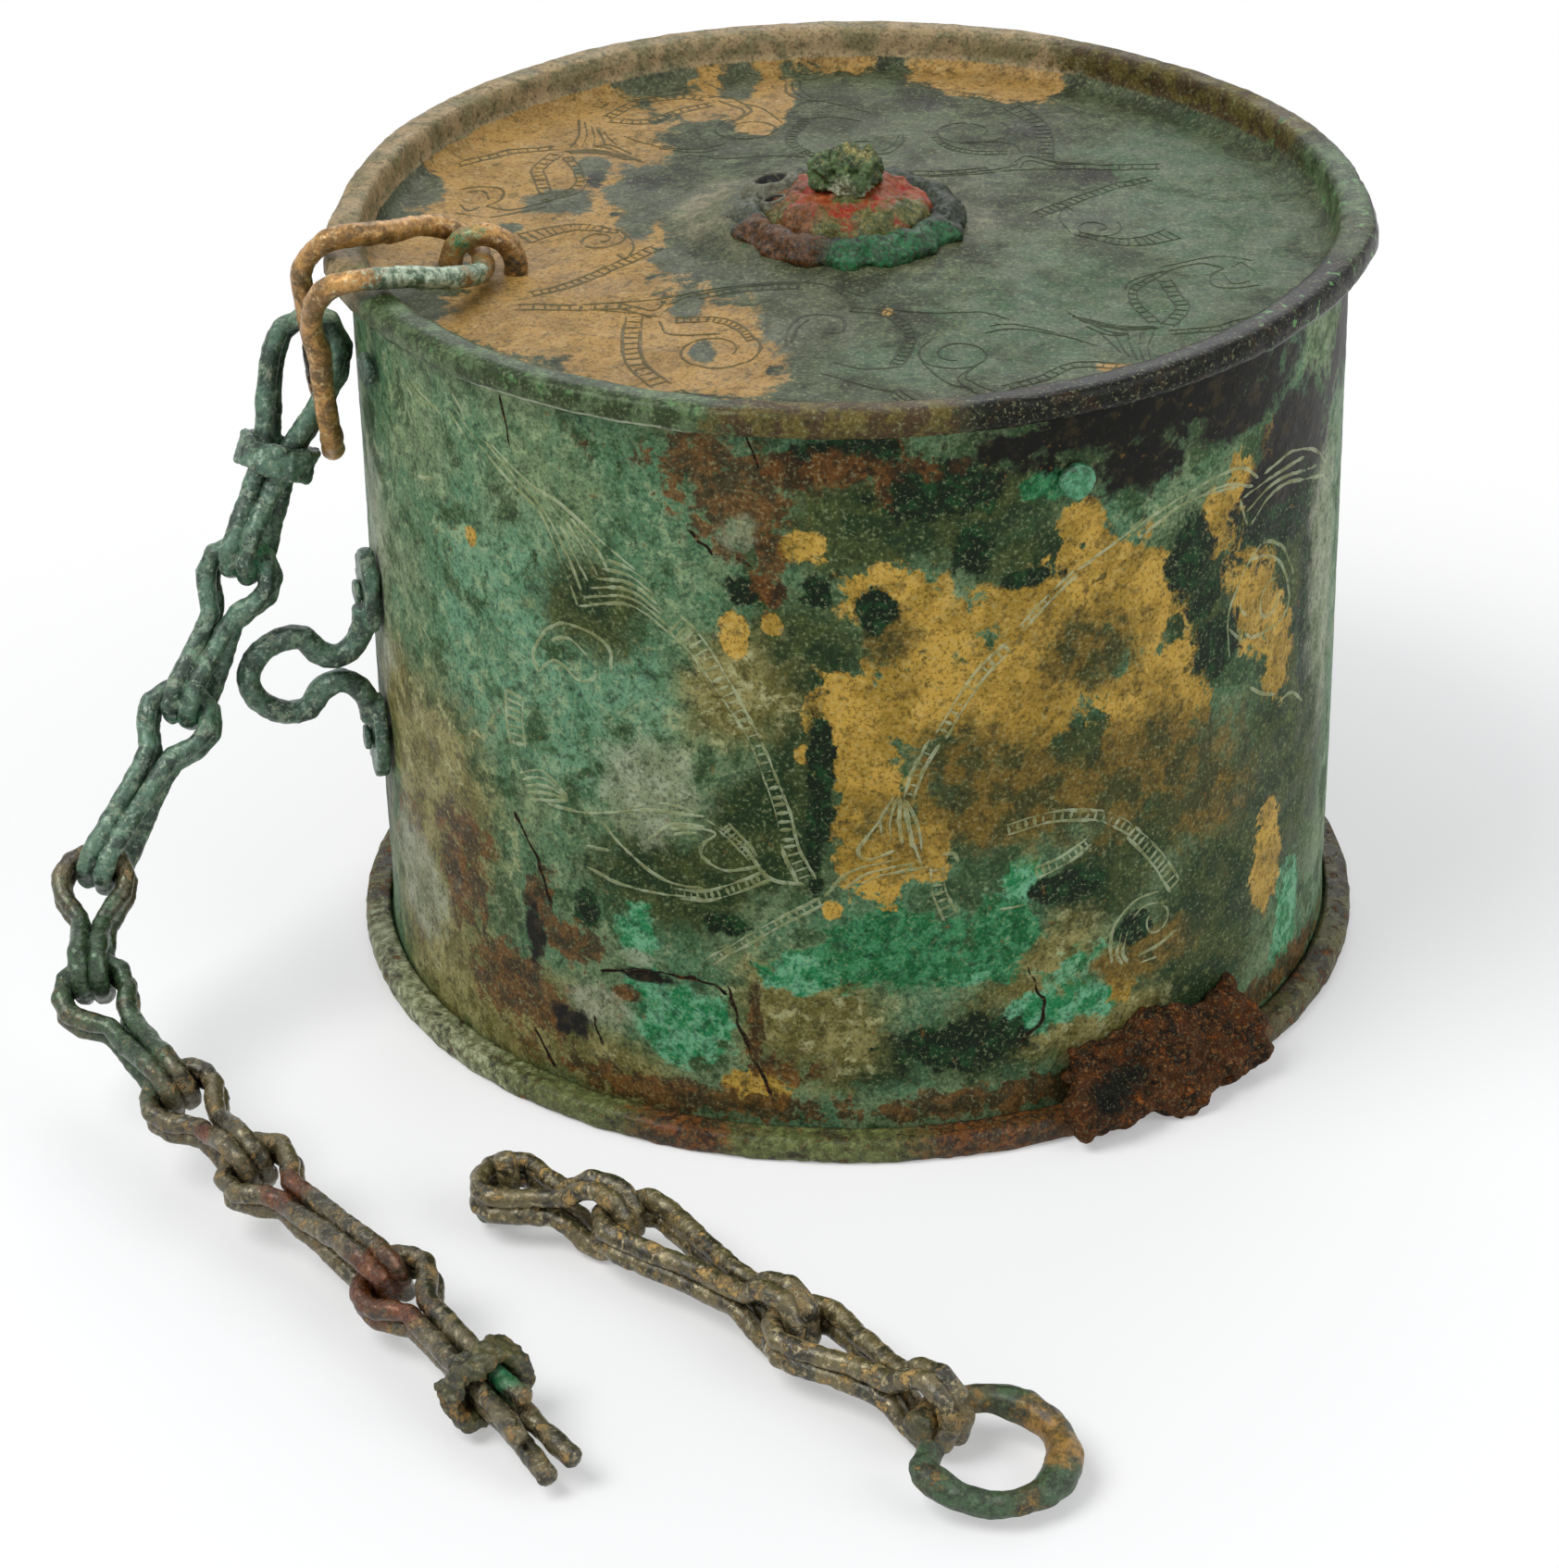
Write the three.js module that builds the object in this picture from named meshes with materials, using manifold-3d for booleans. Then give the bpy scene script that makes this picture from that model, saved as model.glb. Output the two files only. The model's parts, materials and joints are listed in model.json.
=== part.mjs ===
import * as THREE from "three";
import { mergeVertices } from "three/addons/utils/BufferGeometryUtils.js";
import Module from "manifold-3d";

const wasm = await Module();
wasm.setup();

// Driving dimensions in millimetres. The box stands on z = 0 with its axis on +Z.
const BOX_HEIGHT = 70.6;
const SHEET = 0.6;
const CLEARANCE = 0.3;
const WALL_RADIUS = 43.8;
const LID_RIM_REACH = 1.6;
const BASE_RIM_REACH = 2.6;
const LID_RECESS = 3.6;
const LID_RISE = 0.8;
const LID_FLAT_RADIUS = 28;
const DISH_CORNER = 2;
const RIM_CORNER = 0.7;
const SEAM_WIDTH = 6;
const ROUND_STEPS = 48;

// Lid boss
const COLLAR_RADIUS = 10.5;
const COLLAR_HEIGHT = 2;
const COLLAR_LOBES = 16;
const LOBE_DEPTH = 0.55;
const DOME_RADIUS = 7;
const DOME_HEIGHT = 3.7;
const DOME_EDGE = 0.7;
const BOSS_PIN_RADIUS = 0.8;
const BOSS_HEAD_RADIUS = 3;
const BOSS_HEAD_HEIGHT = 2.7;
const ROVE_RADIUS = 3.2;
const ROVE_THICKNESS = 0.8;
const CLENCH_RADIUS = 1.4;
const CLENCH_THICKNESS = 0.7;

// Lid staple
const STAPLE_WIRE_RADIUS = 1;
const STAPLE_INSET = 13.9;
const STAPLE_Y = -7.4;
const STAPLE_SPAN = 5.6;
const STAPLE_RISE = 3.6;
const STAPLE_BEND = 1.3;
const STAPLE_TAB = 3.6;

// Small rivets through the wall
const WALL_PIN_RADIUS = 0.7;
const WALL_HEAD_RADIUS = 1.5;
const WALL_HEAD_THICKNESS = 0.6;
const WALL_RIVET_DROP = 8.4;
const WALL_RIVET_AZIMUTHS = { left: 202.3, right: 294.9 };

// Side loop
const SIDE_WIRE_RADIUS = 1.05;
const SIDE_AZIMUTH = 196.5;
const SIDE_HEIGHT = 31.7;
const SIDE_REACH = 12;
const SIDE_EYE_HALF = 3.7;
const SIDE_NECK_HALF = 1.2;
const PAD_HALF_WIDTH = 2.5;
const PAD_HALF_HEIGHT = 4;
const PAD_THICKNESS = 1.1;
const PAD_OFFSET = 7.3;
const PAD_PIN_RADIUS = 0.6;
const PAD_HEAD_RADIUS = 1.1;
const PAD_HEAD_THICKNESS = 0.4;

// Chain wire and its loops
const LINK_WIRE = 1.4;
const LAY_GAP = 0.2;
const LOOP_PLAY = 0.45;
const JOINT_REACH = 1.25;
const LOOP_DEPTH = 2.5;
const LOOP_OPEN = 4;
const FIRST_LOOP_OPEN = 10.4;
const SHOULDER_SHARE = 0.88;
const WAIST_PLAY = 0.15;
const HANGING_OUT = 1.8;
const HANGING_DROP = 9;
const LINK_STEPS = 44;
const LINK_SIDES = 6;
const SHACKLE_WIRE_RADIUS = 0.8;
const TIE_WIRE_RADIUS = 0.45;
const TIE_LENGTH = 2.7;
const TIE_SIDES = 16;
const TIE_PLAY = 0.4;
const END_TIE_INSET = 0.6;
const BROKEN_FRONT_LEGS = [21, 24];
const BROKEN_BACK_LEGS = [27, 27];
const BREAK_SPREAD = 0.3;
const RING_RADIUS = 5.8;
const RING_WIRE_RADIUS = 1.2;
const RING_TILT = 1.8;
const RING_SEAT = 1.1;
const RING_GAP_FROM = 232;
const RING_SWEEP = 338;
const RING_END_INSET = 1.4;

// Iron lump on the base rim
const LUMP_FROM_AZIMUTH = 294;
const LUMP_TO_AZIMUTH = 319;
const LUMP_HEIGHT = 8.2;
const LUMP_PROUD = 1.9;

// Sizes that follow from the ones above
const LID_RIM_RADIUS = WALL_RADIUS + LID_RIM_REACH;
const BASE_RIM_RADIUS = WALL_RADIUS + BASE_RIM_REACH;
const BORE_RADIUS = WALL_RADIUS - SHEET;
const BEAD_HEIGHT = 3 * SHEET + 2 * CLEARANCE;
const LID_TOP = BOX_HEIGHT - LID_RECESS;
const LID_CENTRE_TOP = LID_TOP + LID_RISE;
const FLANGE_LOW = SHEET + CLEARANCE;
const FLANGE_HIGH = BOX_HEIGHT - SHEET - CLEARANCE;
const FOLD_RADIUS = WALL_RADIUS + CLEARANCE;
const STAPLE_X = STAPLE_INSET - LID_RIM_RADIUS;
const LAY = (LINK_WIRE + LAY_GAP) / 2;
const LOOP_HALF = LAY + LINK_WIRE + CLEARANCE + LOOP_PLAY;
const TIE_HOLE = LAY * Math.SQRT2 + LINK_WIRE / 2 + CLEARANCE + TIE_PLAY;
const LYING_HEIGHT = LOOP_HALF + LINK_WIRE / 2 + CLEARANCE;

const vector = (x, y, z) => new THREE.Vector3(x, y, z);
const radians = (degrees) => THREE.MathUtils.degToRad(degrees);

// A point given by azimuth in degrees, distance from the axis and height
function around(azimuth, radius, z) {
  return vector(radius * Math.cos(radians(azimuth)), radius * Math.sin(radians(azimuth)), z);
}

function bare(geometry) {
  const copy = geometry.index ? geometry.toNonIndexed() : geometry.clone();
  copy.deleteAttribute("normal");
  copy.deleteAttribute("uv");
  return mergeVertices(copy, 1e-4);
}

function solidOf(geometry) {
  const merged = bare(geometry);
  const vertProperties = new Float32Array(merged.attributes.position.array);
  const triVerts = new Uint32Array(merged.index.array);
  return new wasm.Manifold(new wasm.Mesh({ numProp: 3, vertProperties, triVerts }));
}

function geometryOf(solid) {
  const mesh = solid.getMesh();
  const geometry = new THREE.BufferGeometry();
  geometry.setAttribute("position", new THREE.BufferAttribute(new Float32Array(mesh.vertProperties), 3));
  geometry.setIndex(new THREE.BufferAttribute(new Uint32Array(mesh.triVerts), 1));
  return geometry;
}

function cut(geometry, tools) {
  let solid = solidOf(geometry);
  for (const tool of tools) {
    solid = solid.subtract(solidOf(tool));
  }
  return geometryOf(solid);
}

function join(geometries) {
  let solid = solidOf(geometries[0]);
  for (const geometry of geometries.slice(1)) {
    solid = solid.add(solidOf(geometry));
  }
  return geometryOf(solid);
}

// A profile of [radius, z] corners turned about the Z axis
function turned(corners, steps = ROUND_STEPS) {
  const profile = corners.map(([radius, z]) => new THREE.Vector2(radius, z));
  if (THREE.ShapeUtils.isClockWise(profile)) {
    profile.reverse();
  }
  return new THREE.LatheGeometry(profile, steps).rotateX(Math.PI / 2);
}

// A rod of one radius between two points
function rod(from, to, radius, sides = 12) {
  const length = from.distanceTo(to);
  const geometry = new THREE.CylinderGeometry(radius, radius, length, sides);
  const direction = to.clone().sub(from).normalize();
  const turn = new THREE.Quaternion().setFromUnitVectors(vector(0, 1, 0), direction);
  geometry.applyQuaternion(turn);
  const middle = from.clone().add(to).multiplyScalar(0.5);
  return geometry.translate(middle.x, middle.y, middle.z);
}

function circleShape(radius, sides) {
  const shape = new THREE.Shape();
  for (let i = 0; i < sides; i += 1) {
    const angle = (2 * Math.PI * i) / sides;
    const move = i === 0 ? "moveTo" : "lineTo";
    shape[move](radius * Math.cos(angle), radius * Math.sin(angle));
  }
  shape.closePath();
  return shape;
}

// A wire with two ends
function openWire(points, radius, steps, sides = 8) {
  const extrudePath = new THREE.CatmullRomCurve3(points, false, "centripetal");
  return new THREE.ExtrudeGeometry(circleShape(radius, sides), { steps, bevelEnabled: false, extrudePath });
}

// A wire that closes on itself
function closedWire(points, radius, steps, sides = LINK_SIDES) {
  const path = new THREE.CatmullRomCurve3(points, true, "centripetal");
  return new THREE.TubeGeometry(path, steps, radius, sides, true);
}

// Wall: a rolled sheet with a lapped seam at the back and a flange turned out at each end
function wallBody() {
  const upperFlange = LID_RIM_RADIUS - SHEET - CLEARANCE;
  const lowerFlange = BASE_RIM_RADIUS - SHEET - CLEARANCE;
  const tube = turned([
    [BORE_RADIUS, FLANGE_LOW],
    [lowerFlange, FLANGE_LOW],
    [lowerFlange, FLANGE_LOW + SHEET],
    [WALL_RADIUS, FLANGE_LOW + SHEET],
    [WALL_RADIUS, FLANGE_HIGH - SHEET],
    [upperFlange, FLANGE_HIGH - SHEET],
    [upperFlange, FLANGE_HIGH],
    [BORE_RADIUS, FLANGE_HIGH],
    [BORE_RADIUS, FLANGE_LOW],
  ]);
  const holes = Object.values(WALL_RIVET_AZIMUTHS).map((azimuth) =>
    radialRod(azimuth, BORE_RADIUS - 1, WALL_RADIUS + 1, wallRivetHeight(), WALL_PIN_RADIUS + CLEARANCE),
  );
  for (const side of [1, -1]) {
    const z = SIDE_HEIGHT + side * PAD_OFFSET;
    holes.push(radialRod(SIDE_AZIMUTH, BORE_RADIUS - 1, WALL_RADIUS + 1, z, PAD_PIN_RADIUS + CLEARANCE));
  }
  return cut(join([tube, seamLap()]), holes);
}

function seamLap() {
  const half = SEAM_WIDTH / 2 / WALL_RADIUS;
  const shape = new THREE.Shape();
  shape.absarc(0, 0, WALL_RADIUS + SHEET, Math.PI / 2 - half, Math.PI / 2 + half, false);
  shape.absarc(0, 0, WALL_RADIUS - SHEET / 2, Math.PI / 2 + half, Math.PI / 2 - half, true);
  const low = BEAD_HEIGHT + CLEARANCE;
  const depth = BOX_HEIGHT - 2 * low;
  const strip = new THREE.ExtrudeGeometry(shape, { depth, bevelEnabled: false, curveSegments: 4 });
  return strip.translate(0, 0, low);
}

// Points of a quarter bend from straight below its centre to straight out from it
function filletPoints(centreRadius, centreZ, radius) {
  const steps = 4;
  const points = [];
  for (let i = 0; i <= steps; i += 1) {
    const angle = (Math.PI / 2) * (i / steps);
    points.push([centreRadius + radius * Math.sin(angle), centreZ - radius * Math.cos(angle)]);
  }
  return points;
}

// Lid: a shallow dish whose rim is folded over the wall's upper flange
function lidBody() {
  const dishOuter = BORE_RADIUS - CLEARANCE;
  const dishInner = dishOuter - SHEET;
  const bend = (radius) => filletPoints(dishInner - DISH_CORNER, LID_TOP + DISH_CORNER, radius);
  const skirtInner = LID_RIM_RADIUS - SHEET;
  const foldLow = BOX_HEIGHT - BEAD_HEIGHT;
  const pinHole = BOSS_PIN_RADIUS + CLEARANCE;
  const seat = COLLAR_RADIUS + 1;
  const plate = turned([
    [pinHole, LID_CENTRE_TOP],
    [seat, LID_CENTRE_TOP],
    [(seat + LID_FLAT_RADIUS) / 2, LID_TOP + LID_RISE * 0.45],
    [LID_FLAT_RADIUS, LID_TOP],
    ...bend(DISH_CORNER),
    [dishInner, BOX_HEIGHT - RIM_CORNER],
    [dishInner + RIM_CORNER, BOX_HEIGHT],
    [LID_RIM_RADIUS - RIM_CORNER, BOX_HEIGHT],
    [LID_RIM_RADIUS, BOX_HEIGHT - RIM_CORNER],
    [LID_RIM_RADIUS, foldLow + RIM_CORNER],
    [LID_RIM_RADIUS - RIM_CORNER, foldLow],
    [FOLD_RADIUS, foldLow],
    [FOLD_RADIUS, foldLow + SHEET],
    [skirtInner, foldLow + SHEET],
    [skirtInner, BOX_HEIGHT - SHEET],
    [dishOuter, BOX_HEIGHT - SHEET],
    ...bend(DISH_CORNER + SHEET).reverse(),
    [LID_FLAT_RADIUS, LID_TOP - SHEET],
    [(seat + LID_FLAT_RADIUS) / 2, LID_TOP + LID_RISE * 0.45 - SHEET],
    [seat, LID_CENTRE_TOP - SHEET],
    [pinHole, LID_CENTRE_TOP - SHEET],
    [pinHole, LID_CENTRE_TOP],
  ]);
  const legHoles = [-1, 1].map((side) => {
    const x = STAPLE_X + (side * STAPLE_SPAN) / 2;
    const low = vector(x, STAPLE_Y, LID_TOP - 2);
    const high = vector(x, STAPLE_Y, LID_TOP + 2);
    return rod(low, high, STAPLE_WIRE_RADIUS + CLEARANCE);
  });
  return cut(plate, legHoles);
}

// Base: a flat disc whose rim is folded over the wall's lower flange
function baseBody() {
  const skirtInner = BASE_RIM_RADIUS - SHEET;
  return turned([
    [0, 0],
    [BASE_RIM_RADIUS - RIM_CORNER, 0],
    [BASE_RIM_RADIUS, RIM_CORNER],
    [BASE_RIM_RADIUS, BEAD_HEIGHT - RIM_CORNER],
    [BASE_RIM_RADIUS - RIM_CORNER, BEAD_HEIGHT],
    [FOLD_RADIUS, BEAD_HEIGHT],
    [FOLD_RADIUS, BEAD_HEIGHT - SHEET],
    [skirtInner, BEAD_HEIGHT - SHEET],
    [skirtInner, SHEET],
    [0, SHEET],
  ]);
}

// Boss collar: a low ring whose outer side is worked into lobes
function bossCollar() {
  const low = LID_CENTRE_TOP + CLEARANCE;
  const inner = DOME_RADIUS + CLEARANCE;
  const geometry = turned([
    [inner, low],
    [inner, low + COLLAR_HEIGHT * 0.7],
    [inner + 1, low + COLLAR_HEIGHT],
    [COLLAR_RADIUS - 1.2, low + COLLAR_HEIGHT * 0.9],
    [COLLAR_RADIUS, low + COLLAR_HEIGHT * 0.35],
    [COLLAR_RADIUS, low],
    [inner, low],
  ], COLLAR_LOBES * 4);
  const place = geometry.attributes.position;
  for (let i = 0; i < place.count; i += 1) {
    const x = place.getX(i);
    const y = place.getY(i);
    const radius = Math.hypot(x, y);
    const share = Math.max(0, (radius - inner - 0.5) / (COLLAR_RADIUS - inner - 0.5));
    const wave = 0.5 - 0.5 * Math.cos(COLLAR_LOBES * Math.atan2(y, x));
    const scale = 1 - (share * wave * LOBE_DEPTH) / radius;
    place.setXY(i, x * scale, y * scale);
  }
  return geometry;
}

function enamelDome() {
  const low = LID_CENTRE_TOP + CLEARANCE;
  const hole = BOSS_PIN_RADIUS + CLEARANCE;
  const corners = [[hole, low], [DOME_RADIUS, low]];
  const arcSteps = 6;
  const topAngle = Math.acos(hole / DOME_RADIUS);
  for (let i = 0; i <= arcSteps; i += 1) {
    const angle = (topAngle * i) / arcSteps;
    const rise = DOME_EDGE + (DOME_HEIGHT - DOME_EDGE) * Math.sin(angle);
    corners.push([DOME_RADIUS * Math.cos(angle), low + rise]);
  }
  corners.push([hole, low]);
  return turned(corners, 24);
}

function bossRivet() {
  const headLow = LID_CENTRE_TOP + CLEARANCE + DOME_HEIGHT + CLEARANCE;
  const clenchTop = LID_CENTRE_TOP - SHEET - CLEARANCE - ROVE_THICKNESS - CLEARANCE;
  return turned([
    [0, clenchTop - CLENCH_THICKNESS],
    [CLENCH_RADIUS, clenchTop - CLENCH_THICKNESS],
    [CLENCH_RADIUS, clenchTop],
    [BOSS_PIN_RADIUS, clenchTop],
    [BOSS_PIN_RADIUS, headLow],
    [BOSS_HEAD_RADIUS * 0.85, headLow],
    [BOSS_HEAD_RADIUS, headLow + BOSS_HEAD_HEIGHT * 0.35],
    [BOSS_HEAD_RADIUS * 0.85, headLow + BOSS_HEAD_HEIGHT * 0.8],
    [BOSS_HEAD_RADIUS * 0.4, headLow + BOSS_HEAD_HEIGHT],
    [0, headLow + BOSS_HEAD_HEIGHT],
  ], 16);
}

function bossRove() {
  const top = LID_CENTRE_TOP - SHEET - CLEARANCE;
  const hole = BOSS_PIN_RADIUS + CLEARANCE;
  return turned([
    [hole, top - ROVE_THICKNESS],
    [ROVE_RADIUS, top - ROVE_THICKNESS],
    [ROVE_RADIUS, top],
    [hole, top],
    [hole, top - ROVE_THICKNESS],
  ], 20);
}

// Staple: one wire, arched over the lid, with its legs bent apart under it
function lidStaple() {
  const half = STAPLE_SPAN / 2;
  const tabZ = LID_TOP - SHEET - CLEARANCE - STAPLE_WIRE_RADIUS;
  const crown = LID_TOP + STAPLE_RISE;
  const place = (x, z) => vector(STAPLE_X + x, STAPLE_Y, z);
  const rightSide = [
    place(half * 0.72, crown - 0.75),
    place(half, LID_TOP + 1.2),
    place(half, tabZ + STAPLE_BEND),
    place(half + STAPLE_BEND * 0.3, tabZ + STAPLE_BEND * 0.3),
    place(half + STAPLE_BEND, tabZ),
    place(half + STAPLE_TAB, tabZ),
  ];
  const mirrored = (point) => vector(2 * STAPLE_X - point.x, point.y, point.z);
  const leftSide = rightSide.map(mirrored).reverse();
  return openWire([...leftSide, place(0, crown), ...rightSide], STAPLE_WIRE_RADIUS, 30);
}

function wallRivetHeight() {
  return BOX_HEIGHT - WALL_RIVET_DROP;
}

function radialRod(azimuth, fromRadius, toRadius, z, radius, sides = 12) {
  return rod(around(azimuth, fromRadius, z), around(azimuth, toRadius, z), radius, sides);
}

// A rivet through the wall: a disc head outside, a pin and a disc end inside
function radialRivet(azimuth, z, seatRadius, pin, head, thickness) {
  const outside = seatRadius + CLEARANCE;
  const inside = BORE_RADIUS - CLEARANCE;
  return join([
    radialRod(azimuth, inside - thickness, outside + thickness, z, pin, 10),
    radialRod(azimuth, outside, outside + thickness, z, head, 16),
    radialRod(azimuth, inside - thickness, inside, z, head, 16),
  ]);
}

// Side loop: an omega of thick wire that ends in two oval pads on the wall
function sideLoop() {
  const wireSeat = WALL_RADIUS + CLEARANCE + SIDE_WIRE_RADIUS;
  const eyeCentre = WALL_RADIUS + SIDE_REACH - SIDE_EYE_HALF - 0.4;
  const place = (radius, dz) => around(SIDE_AZIMUTH, radius, SIDE_HEIGHT + dz);
  const upper = [
    place(wireSeat, PAD_OFFSET),
    place(wireSeat + 0.1, PAD_OFFSET - 3),
    place(wireSeat + 0.9, PAD_OFFSET - 5),
    place(wireSeat + 2.6, SIDE_NECK_HALF),
    place(wireSeat + 4.3, SIDE_NECK_HALF + 0.6),
  ];
  const lower = upper.map((point) => vector(point.x, point.y, 2 * SIDE_HEIGHT - point.z)).reverse();
  const eye = [];
  for (let i = 0; i <= 6; i += 1) {
    const angle = radians(100 - (200 * i) / 6);
    const radius = eyeCentre + (SIDE_EYE_HALF + 0.6) * Math.cos(angle);
    eye.push(place(radius, SIDE_EYE_HALF * Math.sin(angle)));
  }
  const wire = openWire([...upper, ...eye, ...lower], SIDE_WIRE_RADIUS, 36);
  const pads = [1, -1].map((side) => sidePad(SIDE_HEIGHT + side * PAD_OFFSET));
  const holes = [1, -1].map((side) => {
    const z = SIDE_HEIGHT + side * PAD_OFFSET;
    return radialRod(SIDE_AZIMUTH, WALL_RADIUS - 1, WALL_RADIUS + 6, z, PAD_PIN_RADIUS + CLEARANCE);
  });
  return cut(join([wire, ...pads]), [...holes, ...padFaces()]);
}

function sidePad(z) {
  const shape = new THREE.Shape();
  shape.absellipse(0, 0, PAD_HALF_WIDTH, PAD_HALF_HEIGHT, 0, 2 * Math.PI);
  const settings = { depth: PAD_THICKNESS, bevelEnabled: false, curveSegments: 10 };
  const pad = new THREE.ExtrudeGeometry(shape, settings);
  return seatOnWall(pad, WALL_RADIUS + CLEARANCE, z);
}

// Blocks that trim the wire's ends flush with the pads' outer faces
function padFaces() {
  return [1, -1].map((side) => {
    const block = new THREE.BoxGeometry(8, 5.2, 4).translate(0, 0, 2);
    const radius = WALL_RADIUS + CLEARANCE + PAD_THICKNESS;
    return seatOnWall(block, radius, SIDE_HEIGHT + side * (PAD_OFFSET + 1));
  });
}

// Turns a geometry so that its own +Z points out of the wall and its +Y points up
function seatOnWall(geometry, radius, z) {
  const out = around(SIDE_AZIMUTH, 1, 0);
  const up = vector(0, 0, 1);
  const across = up.clone().cross(out);
  const frame = new THREE.Matrix4().makeBasis(across, up, out);
  geometry.applyMatrix4(frame);
  const place = around(SIDE_AZIMUTH, radius, z);
  return geometry.translate(place.x, place.y, place.z);
}

// Shackle: a long closed hairpin through the staple, over the rim and down outside the wall. Its
// places are measured from the staple's foot while it is on the lid. Beyond it they are given by
// azimuth, by how far they lie outside the lid's rim and by how high they lie over it.
const overLid = (x, y, z) => vector(STAPLE_X + x, STAPLE_Y + y, LID_TOP + z);
const overRim = (azimuth, out, z) => around(azimuth, LID_RIM_RADIUS + out, BOX_HEIGHT + z);
const SHACKLE_ROUTE = [
  overLid(-0.1, 0, 1.3), overLid(0.3, -3.6, 1.7), overLid(-1.9, -7.6, 2.8), overLid(-5.5, -10.8, 4.2),
  overRim(207, 0, 1.5), overRim(204.9, 2.65, 0.4), overRim(202.2, 3.4, -3), overRim(200.5, 2.6, -7.4),
  overRim(199.4, 2.2, -12), overRim(198.1, 1.7, -16), overRim(193.7, 1.1, -18.4), overRim(189.1, 1.2, -17.2),
  overRim(188.3, 1.7, -14.2), overRim(190.5, 2, -9.6), overRim(192.3, 2.5, -5.2), overRim(193.3, 2.6, -1.4),
  overRim(194.9, 0.5, 1.4), overRim(194.9, -2.6, 1.6), overLid(-7.1, -0.8, 4.4), overLid(-4.5, 2.6, 3.4),
  overLid(-2.1, 3.4, 2.2), overLid(-0.7, 2.2, 1.6),
];

// Places where two links meet. The first is given from the lid's rim, the others by azimuth, by how
// far they lie beyond the side loop, and by height. From the third on the height is a share of the
// way from the floor up to the side loop. The hanging length runs down to the floor and along it.
const FIRST_JOINT = around(188.5, LID_RIM_RADIUS + HANGING_OUT, BOX_HEIGHT - HANGING_DROP);
const SECOND_JOINT_HEIGHT = SIDE_HEIGHT + 0.349 * (FIRST_JOINT.z - SIDE_HEIGHT);
const beyondLoop = (azimuth, out, z) => around(azimuth, WALL_RADIUS + SIDE_REACH + out, z);
const belowLoop = (share) => LYING_HEIGHT + share * (SIDE_HEIGHT - LYING_HEIGHT);
const HANGING_JOINTS = [
  FIRST_JOINT,
  beyondLoop(193.5, -0.8, SECOND_JOINT_HEIGHT),
  beyondLoop(197.2, 5.8, belowLoop(0.958)),
  beyondLoop(202.5, 15.8, belowLoop(0.542)),
  beyondLoop(208.9, 19.8, belowLoop(0.337)),
  beyondLoop(218.4, 18.4, belowLoop(0.143)),
  beyondLoop(227.1, 18.8, belowLoop(0.071)),
  beyondLoop(241.5, 23.5, belowLoop(0.029)),
  beyondLoop(251.1, 32.3, belowLoop(0.008)),
];
const HANGING_FRONT = vector(-0.15, -0.85, 0.5);

// The loose length lies on the floor, its joints given by azimuth and by how far outside the base's
// rim they are. Its links point the other way round.
const LOOSE_PLACES = [[274.9, 40.9], [266.5, 28.9], [252.2, 16.4], [241.2, 15.9]];
const LOOSE_JOINTS = LOOSE_PLACES.map(([azimuth, out]) =>
  around(azimuth, BASE_RIM_RADIUS + out, LYING_HEIGHT),
);
const LOOSE_FRONT = vector(0.7, 0.7, 0);

// The frame of a link: along its length, across its loops, and from its back layer to its front layer
function linkFrame(start, end, frontHint) {
  const along = end.clone().sub(start).normalize();
  const front = frontHint.clone().addScaledVector(along, -frontHint.dot(along)).normalize();
  const across = front.clone().cross(along);
  const length = start.distanceTo(end);
  const at = (s, t, n) =>
    start.clone().addScaledVector(along, s).addScaledVector(across, t).addScaledVector(front, n);
  return { along, across, front, length, at };
}

// Where a link's arches sit in the noses of the link before, so that the two stay clear at an angle
function seatedStart(before, next, joint) {
  const sideways = before.along.dot(next.across) * JOINT_REACH;
  const outward = next.along.dot(before.front) * JOINT_REACH;
  return joint.clone().addScaledVector(next.across, sideways).addScaledVector(before.front, outward);
}

// Frames along a run of links. Each is turned from the one before by the bend alone.
function chainFrames(joints, firstFront) {
  const frames = [linkFrame(joints[0], joints[1], firstFront)];
  for (let i = 2; i < joints.length; i += 1) {
    const before = frames[i - 2];
    const along = joints[i].clone().sub(joints[i - 1]).normalize();
    const bend = new THREE.Quaternion().setFromUnitVectors(before.along, along);
    const front = before.front.clone().applyQuaternion(bend);
    const rough = linkFrame(joints[i - 1], joints[i], front);
    frames.push(linkFrame(seatedStart(before, rough, joints[i - 1]), joints[i], front));
  }
  return frames;
}

const QUARTERS = [90, 45, 0, -45, -90].map(radians);

// The arch of one layer, from one side to the other
function archPoints(frame, layer) {
  const centre = LOOP_DEPTH - JOINT_REACH;
  return QUARTERS.map((angle) =>
    frame.at(centre - LOOP_DEPTH * Math.cos(angle), LOOP_HALF * Math.sin(angle), layer * LAY),
  );
}

// The nose of one side, from the front layer to the back one
function nosePoints(frame, side) {
  const centre = frame.length + JOINT_REACH - LOOP_DEPTH;
  return QUARTERS.map((angle) =>
    frame.at(centre + LOOP_DEPTH * Math.cos(angle), side * LAY, LOOP_HALF * Math.sin(angle)),
  );
}

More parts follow.
